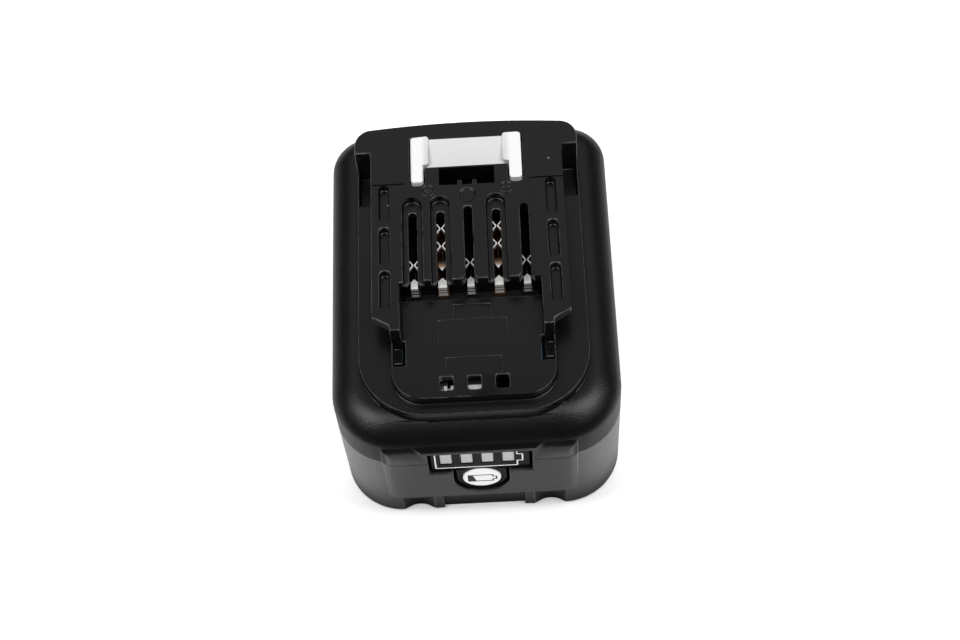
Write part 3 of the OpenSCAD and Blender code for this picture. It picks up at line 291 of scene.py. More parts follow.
@once("node_groups", "Edge wear")
def edge_wear(name):
    """Turns a piece's edge attribute into broken wear, a mask that also places a painted highlight."""
    group, get = shader_group(name, Edge=0.0, Place=None, Amount=0.5)
    rub = noise(group, get["Place"], 420.0, 5.0)
    broken = math_node(group, "ADD", rub, math_node(group, "SUBTRACT", get["Amount"], 0.5))
    return close_group(group, Mask=times(group, between(group, broken, 0.38, 0.62), get["Edge"]))


@once("node_groups", "Dust specks")
def dust_specks(name):
    """A few small specks on faces that look up."""
    group, get = shader_group(name, Place=None, Scale=260.0, Amount=0.06)
    cells = add(group, "ShaderNodeTexVoronoi", {"Vector": get["Place"], "Scale": get["Scale"]}).outputs
    near = between(group, cells["Distance"], 0.035, 0.06, 1.0, 0.0)
    draw = add(group, "ShaderNodeSeparateColor", {"Color": cells["Color"]}).outputs[0]
    chosen = math_node(group, "LESS_THAN", draw, get["Amount"])
    facing = axes_of(group, add(group, "ShaderNodeNewGeometry").outputs["Normal"])
    up = math_node(group, "GREATER_THAN", facing[2], 0.5)
    return close_group(group, Mask=times(group, times(group, near, chosen), up))


@once("node_groups", "Drawn lines")
def drawn_lines(name):
    """Fine lines that rolling or drawing leaves on metal."""
    group, get = shader_group(name, Place=None, Scale=900.0)
    stretch = add(group, "ShaderNodeMapping", {"Vector": get["Place"], "Scale": (1.0, 0.08, 1.0)}).outputs[0]
    lines = noise(group, stretch, get["Scale"], 4.0, Roughness=0.7)
    return close_group(group, Height=lines, Stain=noise(group, get["Place"], 350.0, 3.0))


# Materials


def new_material(name, **inputs):
    """A material with its tree, its shader and the piece's own coordinates."""
    material = bpy.data.materials.new(name)
    material.use_nodes = True
    tree = material.node_tree
    shader = tree.nodes["Principled BSDF"]
    for key, value in inputs.items():
        shader.inputs[key.replace("_", " ")].default_value = value
    return material, tree, shader, add(tree, "ShaderNodeTexCoord").outputs["Object"]


def placed_group(tree, group, **wires):
    """The outputs of a group in a material, with its inputs wired."""
    return add(tree, "ShaderNodeGroup", wires, node_tree=group).outputs


def dress(tree, shader, **wires):
    """Wires values to a shader."""
    for key, value in wires.items():
        tree.links.new(value, shader.inputs[key.replace("_", " ")])


def bump(tree, shader, height, depth, normal=None):
    """Gives a shader a bump of a real depth."""
    wires = {"Height": height, "Distance": depth}
    if normal:
        wires["Normal"] = normal
    dress(tree, shader, Normal=add(tree, "ShaderNodeBump", wires).outputs["Normal"])


def drafted_normal(tree, place, rim, crest, lean):
    """Surface normals that lean upwards from a rim to a crest, except on the belly in front of the wall."""
    _, y, z = axes_of(tree, place)
    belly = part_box("upper_housing")[0].y
    part = times(tree, between(tree, z, rim, rim + 0.1 * MM),
                 between(tree, z, crest - 3.0 * MM, crest, lean, 0.0))
    part = times(tree, part, between(tree, y, belly + 0.4 * MM, belly + 0.8 * MM))
    lift = add(tree, "ShaderNodeCombineXYZ", {"Z": part}).outputs[0]
    normal = add(tree, "ShaderNodeNewGeometry").outputs["Normal"]
    return vector_node(tree, "NORMALIZE", vector_node(tree, "ADD", normal, lift)[0])[0]


@once("materials")
def moulded_plastic(name, base, roughness, spread, grain, depth, shine=0.5):
    """Plain moulded plastic with a fine grain in its colour, gloss and normal."""
    material, tree, shader, place = new_material(name, Specular_IOR_Level=shine)
    texture = placed_group(tree, moulding_grain(), Place=place, Scale=1.0 / grain)
    dress(tree, shader, Base_Color=blend(tree, texture["Gloss"], rgba(base), rgba(base, 1.12)),
          Roughness=vary(tree, texture["Gloss"], roughness - spread, roughness + spread))
    bump(tree, shader, texture["Height"], depth)
    return material


@once("materials", "Casing")
def casing_plastic(name):
    """Black shells: spark-eroded skin outside, smoother on the plateau and the rails."""
    c, d = settings().colours, settings().detail
    material, tree, shader, place = new_material(name, Specular_IOR_Level=0.32)
    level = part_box("main_board")[1].z
    skin = between(tree, axes_of(tree, place)[2], level, level + 0.8 * MM, 1.0, 0.0)
    texture = placed_group(tree, moulding_grain(), Place=place, Scale=1.0 / d.grain_size)
    edge = add(tree, "ShaderNodeAttribute", attribute_name="edge").outputs["Fac"]
    wear = placed_group(tree, edge_wear(), Edge=edge, Place=place, Amount=d.wear)["Mask"]
    specks = placed_group(tree, dust_specks(), Place=place, Amount=0.16)["Mask"]
    tone = blend(tree, texture["Gloss"], rgba(c.casing), rgba(c.casing, 1.3))
    # The lighter colour on the edges is wear, and also a painted highlight.
    tone = blend(tree, wear, tone, rgba(c.worn_edge_and_highlight))
    rough = math_node(tree, "ADD", vary(tree, texture["Gloss"], 0.2, 0.34), vary(tree, skin, 0.0, 0.06))
    rough = math_node(tree, "SUBTRACT", rough, times(tree, wear, 0.1))
    rough = math_node(tree, "ADD", rough, times(tree, specks, 0.4))
    dress(tree, shader, Base_Color=blend(tree, specks, tone, rgba(c.dust)), Roughness=rough)
    grain = times(tree, texture["Height"], vary(tree, skin, 0.25, 1.0))
    bump(tree, shader, grain, d.grain_depth, drafted_normal(tree, place, d.rim, d.crest, d.draft))
    return material


def white_moulding():
    """Smooth white plug."""
    return moulded_plastic("White moulding", settings().colours.plug, 0.34, 0.06, 0.5 * MM, 0.003 * MM)


def button_moulding():
    """Bright white check button."""
    return moulded_plastic("Button moulding", settings().colours.button, 0.34, 0.06, 0.5 * MM, 0.003 * MM)


def inner_moulding():
    """Plain dark mouldings inside the shells."""
    return moulded_plastic("Inner moulding", settings().colours.inner, 0.5, 0.06, 0.4 * MM, 0.006 * MM, 0.12)


def panel_film():
    """Dark label film over the gauge panel."""
    return moulded_plastic("Gauge film", settings().colours.panel, 0.3, 0.05, 0.25 * MM, 0.003 * MM, 0.04)


def sleeve(name, base):
    """Soft sleeve of a lead or cable."""
    return moulded_plastic(name, base, 0.48, 0.05, 0.6 * MM, 0.004 * MM)


@once("materials", "Latch moulding")
def latch_moulding(name):
    """White latch whose bar between the two pads is painted grey as shade, more towards its front, and whose
    foot is painted dark as shade.
    """
    c = settings().colours
    low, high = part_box("latch_hook")
    half, old_white = (high.x - low.x) / 2, (0.5, 0.49, 0.46)
    material, tree, shader, place = new_material(name)
    texture = placed_group(tree, moulding_grain(), Place=place, Scale=1.0 / (0.5 * MM))
    x, y, z = axes_of(tree, place)
    out = math_node(tree, "ABSOLUTE", math_node(tree, "SUBTRACT", x, (low.x + high.x) / 2))
    # Painted shade: the bar between the pads turns grey, more so towards its front.
    bar = between(tree, out, half * 0.6, half * 0.68, 1.0, 0.0)
    front = between(tree, y, high.y - 1.0 * MM, low.y + 4.0 * MM, 0.6, 1.0)
    tone = blend(tree, times(tree, bar, front), rgba(c.white), rgba(c.bar_shade))
    tone = blend(tree, vary(tree, texture["Gloss"], 0.0, 0.06), tone, rgba(old_white))
    # Painted shade: below the shell's top the latch takes the dark inner colour.
    foot_shade = between(tree, z, high.z - 5.0 * MM, high.z - 4.3 * MM, 1.0, 0.0)
    dress(tree, shader, Base_Color=blend(tree, foot_shade, tone, rgba(c.inner)),
          Roughness=vary(tree, texture["Gloss"], 0.3, 0.42))
    bump(tree, shader, texture["Height"], 0.003 * MM)
    return material


@once("materials", "Frosted lens")
def lens_plastic(name):
    """Frosted light pipes, paler towards the top."""
    low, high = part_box("gauge_lenses")
    base, white = settings().colours.lens, (0.9, 0.9, 0.9)
    material, tree, shader, place = new_material(name, IOR=1.49)
    rise = between(tree, axes_of(tree, place)[2], low.z, high.z)
    frost = placed_group(tree, moulding_grain(), Place=place, Scale=1.0 / (0.2 * MM))
    tone = blend(tree, rise, rgba(base, 0.8), rgba(base))
    dress(tree, shader, Base_Color=blend(tree, vary(tree, frost["Gloss"], 0.0, 0.25), tone, rgba(white)),
          Roughness=vary(tree, frost["Gloss"], 0.3, 0.5))
    bump(tree, shader, frost["Height"], 0.004 * MM)
    return material


@once("materials")
def ink(name, base):
    """Screen-printed ink with a slightly uneven film."""
    material, tree, shader, place = new_material(name, Specular_IOR_Level=0.15)
    film = noise(tree, place, 2600.0, 3.0)
    dress(tree, shader, Base_Color=blend(tree, vary(tree, film, 0.0, 0.2), rgba(base), rgba(base, 0.8)),
          Roughness=vary(tree, film, 0.35, 0.5))
    bump(tree, shader, film, 0.004 * MM)
    return material


@once("materials")
def metal(name, base, roughness, stain, scale=900.0):
    """Rolled or drawn metal with faint stains."""
    material, tree, shader, place = new_material(name, Metallic=1.0)
    lines = placed_group(tree, drawn_lines(), Place=place, Scale=scale)
    dress(tree, shader, Base_Color=blend(tree, lines["Stain"], rgba(base), rgba(base, 1.0 - stain)),
          Roughness=vary(tree, lines["Stain"], roughness * 0.7, roughness * 1.3))
    bump(tree, shader, lines["Height"], 0.004 * MM)
    return material


@once("materials")
def contact_metal(name, node, strip, bands, spade=None):
    """Spring contact: a strip darkened as painted shade, with stains, leaves whose tops keep the plate colour
    as a painted highlight, and dark bands of painted shade across the front of a tip lightened as a painted
    highlight.
    """
    # nickel holds the plate colour, which here is also a painted highlight.
    nickel = rgba(settings().colours.bright)
    low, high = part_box(node)
    material, tree, shader, place = new_material(name, Metallic=0.4)
    lines = placed_group(tree, drawn_lines(), Place=place, Scale=900.0)
    _, y, z = axes_of(tree, place)
    # Painted shade: the strip colour, with real stains; the top of each leaf keeps the plate colour as a
    # painted highlight.
    dark = blend(tree, lines["Stain"], rgba(strip), rgba(strip, 0.4))
    tone = blend(tree, between(tree, z, high.z - 0.9 * MM, high.z - 0.5 * MM), dark, nickel)
    # A power contact's spade is plate-coloured at its front as a painted highlight and darkens towards its
    # rear as painted shade.
    if spade:
        front, back = low.y + 4.2 * MM, low.y + 7.2 * MM
        inside = times(tree, between(tree, y, front, front + 0.1 * MM),
                       between(tree, y, back - 0.1 * MM, back, 1.0, 0.0))
        top = times(tree, inside, between(tree, z, high.z - 1.3 * MM, high.z - 1.1 * MM))
        rear_shade = between(tree, y, front + 1.5 * MM, back - 0.6 * MM)
        warm = blend(tree, rear_shade, rgba(spade, 0.55), rgba(spade, 0.03))
        warm = blend(tree, between(tree, y, front + 0.8 * MM, front + 1.5 * MM), nickel, warm)
        tone = blend(tree, top, tone, warm)
    # The front of the tip keeps the plate colour as a painted highlight.
    tip = between(tree, y, low.y + 2.7 * MM, low.y + 2.8 * MM, 1.0, 0.0)
    tip_plate_and_highlight = times(tree, tip, between(tree, z, high.z - 4.95 * MM, high.z - 4.75 * MM))
    tone = blend(tree, tip_plate_and_highlight, tone, nickel)
    # Two dark bands across the tip are painted shade of its bend.
    for level in (2.3, 3.5):
        away = math_node(tree, "ABSOLUTE", math_node(tree, "SUBTRACT", z, high.z - level * MM))
        band = times(tree, tip, between(tree, away, 0.2 * MM, 0.26 * MM, 1.0, 0.0))
        tone = blend(tree, band, tone, rgba(bands))
    dress(tree, shader, Base_Color=tone, Roughness=vary(tree, lines["Stain"], 0.18, 0.36))
    bump(tree, shader, lines["Height"], 0.004 * MM)
    return material


@once("materials", "Solder mask")
def solder_mask(name):
    """Green lacquer with copper tracks that show through it."""
    base = settings().colours.board
    material, tree, shader, place = new_material(name, Coat_Weight=0.4, Coat_Roughness=0.15)
    tracks = add(
        tree, "ShaderNodeTexBrick",
        {"Vector": place, "Scale": 260.0, "Mortar Size": 0.06, "Mortar Smooth": 0.3, "Bias": 0.0},
        offset=0.37, squash=1.6,
    ).outputs["Fac"]
    pale = rgba([c * 1.7 + 0.01 for c in base])
    dress(tree, shader, Base_Color=blend(tree, tracks, rgba(base), pale),
          Roughness=vary(tree, tracks, 0.32, 0.4))
    bump(tree, shader, tracks, 0.02 * MM)
    return material


@once("materials", "Shrink film")
def shrink_film(name):
    """Cell wrap with faint creases, bare steel at the ends."""
    c = settings().colours
    low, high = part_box("cell_lower_left")
    margin = 0.5 * MM
    material, tree, shader, place = new_material(name)
    y = axes_of(tree, place)[1]
    front = math_node(tree, "LESS_THAN", y, low.y + margin)
    bare = math_node(tree, "MAXIMUM", front, math_node(tree, "GREATER_THAN", y, high.y - margin))
    creases = noise(tree, place, 160.0, 5.0, Distortion=0.8)
    film = blend(tree, creases, rgba(c.wrap), rgba(c.wrap, 0.75))
    dress(tree, shader, Base_Color=blend(tree, bare, film, rgba(c.nickel)),
          Roughness=vary(tree, creases, 0.25, 0.4), Metallic=bare)
    bump(tree, shader, creases, 0.02 * MM)
    return material


@once("materials")
def fibre_card(name, base):
    """Pressed fibre card."""
    material, tree, shader, place = new_material(name, Roughness=0.85)
    fibres = noise(tree, place, 1400.0, 6.0, Roughness=0.75)
    dress(tree, shader, Base_Color=blend(tree, fibres, rgba(base), rgba(base, 0.7)))
    bump(tree, shader, fibres, 0.03 * MM)
    return material


# Pieces


def flat_regions(bm):
    """Groups of faces that lie in one plane and touch."""
    seen, regions = set(), []
    for face in bm.faces:
        if face in seen:
            continue
        seen.add(face)
        region, todo = [], [face]
        while todo:
            here = todo.pop()
            region.append(here)
            for edge in here.edges:
                for other in edge.link_faces:
                    if other not in seen and here.normal.angle(other.normal, 1.0) < math.radians(0.3):
                        seen.add(other)
                        todo.append(other)
        regions.append(region)
    return regions


def rims(region):
    """The closed rims of a flat group of faces, each as its low and high corner."""
    inside = set(region)
    links = {}
    for face in region:
        for edge in face.edges:
            if sum(f in inside for f in edge.link_faces) == 1:
                for vert in edge.verts:
                    links.setdefault(vert, []).append(edge.other_vert(vert))
    found = []
    while links:
        todo, points = [next(iter(links))], []
        while todo:
            vert = todo.pop()
            if vert in links:
                points.append(vert.co)
                todo.extend(links.pop(vert))
        found.append((np.min(points, axis=0), np.max(points, axis=0)))
    return sorted(found, key=lambda rim: -np.linalg.norm(rim[1] - rim[0]))


def cut_through_holes(bm):
    """Cuts each flat group of faces through the middle of its holes, so that no face has a hole."""
    for region in flat_regions(bm):
        holes = rims(region)[1:] if len(region) > 2 else []
        if not holes:
            continue
        normal = region[0].normal
        flat = [k for k in range(3) if k != max(range(3), key=lambda k: abs(normal[k]))]
        middles = {k: sorted({round((low[k] + high[k]) / 2, 5) for low, high in holes}) for k in flat}
        spans = {k: sum(high[k] - low[k] for low, high in holes) for k in flat}
        axis = min(flat, key=lambda k: (len(middles[k]), spans[k]))
        across = Vector([1.0 if k == axis else 0.0 for k in range(3)])
        faces = region
        for middle in middles[axis]:
            geom = list({x for f in faces for x in (f, *f.edges, *f.verts)})
            made = bmesh.ops.bisect_plane(
                bm, geom=geom, dist=0.02 * MM, plane_co=across * middle, plane_no=across
            )
            faces = [x for x in made["geom"] if isinstance(x, bmesh.types.BMFace)]
            for edge in made["geom_cut"]:
                if isinstance(edge, bmesh.types.BMEdge) and edge.calc_face_angle(0.0) < math.radians(0.3):
                    edge.seam = True


def clean_copy(node):
    """A CAD node's mesh with its triangles merged and its flat faces joined."""
    bm = bmesh.new()
    bm.from_mesh(frame["nodes"][node].data)
    bmesh.ops.remove_doubles(bm, verts=bm.verts, dist=2e-6)
    cut_through_holes(bm)
    bmesh.ops.dissolve_limit(
        bm, angle_limit=math.radians(0.4), use_dissolve_boundaries=False, verts=bm.verts, edges=bm.edges,
        delimit={"SEAM"},
    )
    bmesh.ops.dissolve_degenerate(bm, dist=0.05 * MM, edges=bm.edges)
    bm.edges.index_update()
    return bm


def face_room(face, sharp, room):
    """Notes how far each sharp edge of a face may be cut back before it meets another."""
    corners = np.array([loop.vert.co for loop in face.loops])
    edges = [loop.edge for loop in face.loops]
    keen = np.array([e.index in sharp for e in edges])
    if not keen.any():
        return
    run = np.roll(corners, -1, 0) - corners
    size = np.linalg.norm(run, axis=1)
    way = run / np.maximum(size, 1e-12)[:, None]
    bends = np.einsum("ij,ij->i", way, np.roll(way, 1, 0)) < math.cos(math.radians(35))
    chain = (np.cumsum(bends) - 1) % max(1, bends.sum())
    long = np.array([size[chain == c].sum() for c in range(max(1, bends.sum()))])
    middle = corners + run / 2
    along = np.concatenate([[0.0], np.cumsum(size)])
    total = along[-1]
    for i in np.nonzero(keen)[0]:
        limit = 1.0
        if bends.sum() > 1:
            for near in (chain[i] - 1, chain[i] + 1):
                near %= len(long)
                both = keen[chain == near].any()
                limit = min(limit, long[near] * (0.42 if both else 0.8))
        others = np.nonzero(keen)[0]
        others = others[others != i]
        if len(others):
            reach = np.clip(np.einsum("ij,ij->i", middle[i] - corners[others], way[others]), 0, size[others])
            spot = corners[others] + way[others] * reach[:, None]
            gap = np.linalg.norm(spot - middle[i], axis=1)
            apart = np.abs(along[others] + reach - along[i] - size[i] / 2)
            apart = np.minimum(apart, total - apart)
            facing = apart > 2.2 * gap
            if facing.any():
                limit = min(limit, 0.42 * gap[facing].min())
        edge = edges[i]
        room[edge.index] = min(room.get(edge.index, 1.0), limit)


def edge_room(bm, crease):
    """The sharp edges of a mesh, each with the room it has to be cut back."""
    sharp = {e.index: e for e in bm.edges if e.is_manifold and e.calc_face_angle(0.0) > math.radians(crease)}
    room = {}
    for face in bm.faces:
        face_room(face, sharp, room)
    for vert in bm.verts:
        here = [e for e in vert.link_edges if e.index in sharp]
        for k, first in enumerate(here):
            for second in here[k + 1:]:
                ways = [(e.other_vert(vert).co - vert.co).normalized() for e in (first, second)]
                if ways[0].dot(ways[1]) > math.cos(math.radians(32)):
                    room[first.index] = room[second.index] = 0.0
    return sharp, {i: room.get(i, 0.0) for i in sharp}


def edge_cuts(sharp, room, want):
    """How far each sharp edge is cut back, without sudden steps along a chain of edges."""
    cut = {i: min(want[i], room[i]) for i in sharp}
    changed = True
    while changed:
        changed = False
        for i, edge in sharp.items():
            for vert in edge.verts:
                for other in vert.link_edges:
                    step = cut.get(other.index)
                    if step is None or other is edge:
                        continue
                    most = step + 0.35 * (edge.calc_length() + other.calc_length()) / 2
                    if cut[i] > most + 1e-8:
                        cut[i] = most
                        changed = True
    least = 0.12 * min(want.values())
    return {i: c if c > least else 0.0 for i, c in cut.items()}


def spoiled_spots(mesh, shape, radius):
    """Places where a face's outline crosses itself or a corner has left the solid."""
    spots = [np.array(v.co) for v in mesh.vertices if shape.find_nearest(v.co)[3] > radius]
    for polygon in mesh.polygons:
        if polygon.loop_total < 5:
            continue
        corners = np.array([mesh.vertices[v].co for v in polygon.vertices])
        normal = np.array(polygon.normal)
        side = np.cross(normal, np.eye(3)[np.argmin(np.abs(normal))])
        p = np.stack([corners @ side, corners @ np.cross(normal, side)], 1)
        q = np.roll(p, -1, 0)

        def turn(a, b, c):
            u, v = b - a, c - a
            return u[..., 0] * v[..., 1] - u[..., 1] * v[..., 0]

        ahead = turn(p[:, None], q[:, None], p[None]) * turn(p[:, None], q[:, None], q[None])
        aside = turn(p[None], q[None], p[:, None]) * turn(p[None], q[None], q[:, None])
        for pair in np.argwhere(np.triu((ahead < -1e-22) & (aside < -1e-22), 2)):
            spots.extend(corners[pair])
    return spots


def cut_rounds(bm, radius, segments):
    """The mesh that a weighted bevel makes."""
    start = bpy.data.meshes.new("start")
    bm.to_mesh(start)
    for label in ("flat", "round"):
        start.materials.append(bpy.data.materials.get(label) or bpy.data.materials.new(label))
    work = bpy.data.objects.new("start", start)
    bpy.context.scene.collection.objects.link(work)
    cut = work.modifiers.new("Rounds", "BEVEL")
    cut.width = radius
    cut.segments = segments
    cut.limit_method = "WEIGHT"
    cut.use_clamp_overlap = False
    cut.loop_slide = True
    cut.material = 1
    bpy.context.view_layer.update()
    mesh = bpy.data.meshes.new_from_object(work.evaluated_get(bpy.context.evaluated_depsgraph_get()))
    bpy.data.objects.remove(work)
    bpy.data.meshes.remove(start)
    return mesh


def round_edges(bm, radius, segments=2, crease=28, lips=None):
    """A mesh with its sharp edges rounded and the middle of each convex round marked as edge.

    lips is a radius with a test that picks the corners of edges that are rounded by it instead.
    """
    layer = bm.edges.layers.float.new("bevel_weight_edge")
    bm.edges.index_update()
    sharp, room = edge_room(bm, crease)
    ends = {i: (np.array(e.verts[0].co), np.array(e.verts[1].co)) for i, e in sharp.items()}
    want = dict.fromkeys(sharp, radius)
    if lips:
        want.update((i, lips[0]) for i, e in sharp.items() if all(lips[1](v.co) for v in e.verts))
    widest = max(want.values())
    for edge in bm.edges:
        edge.smooth = edge.index not in sharp
    for face in bm.faces:
        face.smooth = True
        face.material_index = 0
    shape = BVHTree.FromBMesh(bm)
    tries = 8
    for _ in range(tries):
        cut = edge_cuts(sharp, room, want)
        for i, edge in sharp.items():
            edge[layer] = cut[i] / widest
        mesh = cut_rounds(bm, widest, segments)
        spots = spoiled_spots(mesh, shape, 1.1 * max(radius, 0.45 * widest))
        if not spots:
            break
        spots = np.array(spots)
        for i, (a, b) in ends.items():
            if cut[i] > 0.0:
                run = b - a
                reach = np.clip((spots - a) @ run / max(run @ run, 1e-18), 0.0, 1.0)
                if np.linalg.norm(spots - a - reach[:, None] * run, axis=1).min() < 1.5 * radius:
                    room[i] = 0.0
    bm.free()
    mark_rounds(mesh, shape)
    return mesh


def mark_rounds(mesh, shape):
    """Gives the middle of each convex round the value 1 in the edge attribute."""
    only_round = [True] * len(mesh.vertices)
    for polygon in mesh.polygons:
        if polygon.material_index != 1:
            for v in polygon.vertices:
                only_round[v] = False
    values = []
    for vertex, middle in zip(mesh.vertices, only_round):
        value = 0.0
        if middle:
            spot, normal, _, _ = shape.find_nearest(vertex.co)
            value = 1.0 if (vertex.co - spot).dot(normal) < 0 else 0.0
        values.append(value)
    mesh.attributes.new("edge", "FLOAT", "POINT").data.foreach_set("value", values)
    mesh.polygons.foreach_set("material_index", [0] * len(mesh.polygons))


def placed_piece(name, mesh, material, body, nodes, smooth=None):
    """Makes a piece of a mesh, shaded smooth with its flat faces kept flat."""
    if smooth:
        mesh.polygons.foreach_set("use_smooth", [True] * len(mesh.polygons))
        mesh.set_sharp_from_angle(angle=math.radians(smooth))
    piece = bpy.data.objects.new(name, mesh)
    bpy.context.scene.collection.objects.link(piece)
    weighted = piece.modifiers.new("Flat faces", "WEIGHTED_NORMAL")
    weighted.keep_sharp = True
    weighted.weight = 100
    bpy.context.view_layer.update()
    shaded = bpy.data.meshes.new_from_object(piece.evaluated_get(bpy.context.evaluated_depsgraph_get()))
    piece.modifiers.clear()
    piece.data = shaded
    shaded.name = name
    shaded.materials.clear()
    shaded.materials.append(material)
    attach(piece, body)
    if nodes:
        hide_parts(*nodes)
    return piece


def rounded_copy(node, name, radius, material, body, segments=2, lips=None):
    """A CAD node with rounded edges in its own material."""
    mesh = round_edges(clean_copy(node), radius, segments, lips=lips)
    return placed_piece(name, mesh, material, body, [node])


def paint(nodes, material):
    """Gives CAD nodes a material."""
    for node in nodes:
        data = frame["nodes"][node].data
        data.materials.clear()
        data.materials.append(material)


def geometry_tree(name, **inputs):
    """An empty geometry tree with its inputs, whose names are given for each kind of socket."""
    tree = bpy.data.node_groups.new(name, "GeometryNodeTree")
    for kind, labels in {"Geometry": ["Geometry"], **inputs}.items():
        for label in labels:
            tree.interface.new_socket(label, in_out="INPUT", socket_type="NodeSocket" + kind)
    tree.interface.new_socket("Geometry", in_out="OUTPUT", socket_type="NodeSocketGeometry")
    return tree, tree.nodes.new("NodeGroupInput").outputs


def close_tree(tree, geometry, material):
    """Ends a tree in Realize Instances and Set Material."""
    real = add(tree, "GeometryNodeRealizeInstances", {"Geometry": geometry})
    smooth = add(tree, "GeometryNodeSetShadeSmooth", {"Geometry": real.outputs[0]})
    coloured = add(tree, "GeometryNodeSetMaterial", {"Geometry": smooth.outputs[0], "Material": material})
    tree.links.new(coloured.outputs[0], tree.nodes.new("NodeGroupOutput").inputs["Geometry"])
    return tree


def point_pair(tree, spread, place):
    """Two points, one at each side of the middle."""
    start = add(tree, "ShaderNodeCombineXYZ", {"X": times(tree, spread, -1.0), "Y": place}).outputs[0]
    step = add(tree, "ShaderNodeCombineXYZ", {"X": times(tree, spread, 2.0)}).outputs[0]
    return add(tree, "GeometryNodeMeshLine", {"Count": 2, "Start Location": start, "Offset": step}).outputs[0]


def grown_mesh(name, tree, values, start=None):
    """The plain mesh that a geometry tree makes of a start mesh and its inputs."""
    seed = bpy.data.objects.new(name + "_start", start or bpy.data.meshes.new(name + "_start"))
    bpy.context.scene.collection.objects.link(seed)
    modifier = seed.modifiers.new(name, "NODES")
    modifier.node_group = tree
    for item in tree.interface.items_tree:
        if item.item_type == "SOCKET" and item.in_out == "INPUT" and item.name in values:
            modifier[item.identifier] = values[item.name]
    bpy.context.view_layer.update()
    mesh = bpy.data.meshes.new_from_object(seed.evaluated_get(bpy.context.evaluated_depsgraph_get()))
    mesh.name = name
    bpy.data.objects.remove(seed)
    if not mesh.polygons:
        raise RuntimeError(f"the geometry tree of {name} made no faces")
    return mesh


def polyline(points, closed):
    """A mesh of points joined by edges."""
    mesh = bpy.data.meshes.new("path")
    edges = [(i, i + 1) for i in range(len(points) - 1)]
    if closed:
        edges.append((len(points) - 1, 0))
    mesh.from_pydata(points, edges, [])
    return mesh


def printed_line_tree(material):
    """A flat printed line along a path drawn on the XY plane, turned to face the front."""
    tree, get = geometry_tree("Printed line", Float=["Width", "Thickness", "Round"], Vector=["Place"])
    path = add(tree, "GeometryNodeMeshToCurve", {0: get["Geometry"]})
    upright = add(tree, "GeometryNodeSetCurveNormal", {"Curve": path.outputs[0]}, mode="Z_UP")
    soft = add(
        tree, "GeometryNodeFilletCurve",
        {"Curve": upright.outputs[0], "Radius": get["Round"], "Limit Radius": True, "Count": 3}, mode="POLY",
    )
    section = add(
        tree, "GeometryNodeCurvePrimitiveQuadrilateral", {"Width": get["Width"], "Height": get["Thickness"]}
    )
    line = add(
        tree, "GeometryNodeCurveToMesh",
        {"Curve": soft.outputs[0], "Profile Curve": section.outputs[0], "Fill Caps": True},
    )
    upended = (math.pi / 2, 0.0, 0.0)
    facing = add(
        tree, "GeometryNodeTransform",
        {"Geometry": line.outputs[0], "Translation": get["Place"], "Rotation": upended},
    )
    return close_tree(tree, facing.outputs[0], material)


def coil_tree(material):
    """Two compression springs with closed ends, side by side."""
    tree, get = geometry_tree(
        "Compression springs",
        Float=["Radius", "Wire", "Low", "High", "Curls", "Spread", "Place"], Int=["Points"],
    )
    line = add(tree, "GeometryNodeMeshLine", {"Count": get["Points"], "Offset": (0.0, 0.0, 1.0)})
    index = add(tree, "GeometryNodeInputIndex").outputs[0]
    part = math_node(tree, "DIVIDE", index, math_node(tree, "SUBTRACT", get["Points"], 1.0))
    turn = times(tree, part, times(tree, get["Curls"], 2.0 * math.pi))
    ease = add(tree, "ShaderNodeMapRange", {"Value": part}, interpolation_type="SMOOTHSTEP").outputs["Result"]
    closed = 0.78
    climb = math_node(tree, "ADD", times(tree, ease, closed), times(tree, part, 1.0 - closed))
    rise = times(tree, climb, math_node(tree, "SUBTRACT", get["High"], get["Low"]))
    spot = add(
        tree, "ShaderNodeCombineXYZ",
        {"X": times(tree, math_node(tree, "COSINE", turn), get["Radius"]),
         "Y": times(tree, math_node(tree, "SINE", turn), get["Radius"]),
         "Z": math_node(tree, "ADD", rise, get["Low"])},
    )
    wound = add(tree, "GeometryNodeSetPosition", {"Geometry": line.outputs[0], "Position": spot.outputs[0]})
    path = add(tree, "GeometryNodeMeshToCurve", {0: wound.outputs[0]})
    section = add(tree, "GeometryNodeCurvePrimitiveCircle", {"Resolution": 10, "Radius": get["Wire"]})
    wire = add(
        tree, "GeometryNodeCurveToMesh",
        {"Curve": path.outputs[0], "Profile Curve": section.outputs[0], "Fill Caps": True},
    )
    pair = point_pair(tree, get["Spread"], get["Place"])
    both = add(tree, "GeometryNodeInstanceOnPoints", {"Points": pair, "Instance": wire.outputs[0]})
    return close_tree(tree, both.outputs[0], material)


def four_places_tree(material):
    """A fastener at two front and two rear places."""
    tree, get = geometry_tree(
        "Four fasteners", Float=["Front Spread", "Front Place", "Rear Spread", "Rear Place"]
    )
    points = add(tree, "GeometryNodeJoinGeometry")
    for end in ("Front", "Rear"):
        tree.links.new(point_pair(tree, get[end + " Spread"], get[end + " Place"]), points.inputs[0])
    placed = add(
        tree, "GeometryNodeInstanceOnPoints", {"Points": points.outputs[0], "Instance": get["Geometry"]}
    )
    return close_tree(tree, placed.outputs[0], material)


def battery_path(left, right, pole, low, high, pole_low, pole_high):
    """The closed path of a battery sign on the XY plane, with its pole at the right."""
    corners = [(left, high), (left, low), (right, low), (right, pole_low), (pole, pole_low),
               (pole, pole_high), (right, pole_high), (right, high)]
    return polyline([(x, y, 0) for x, y in corners], True)


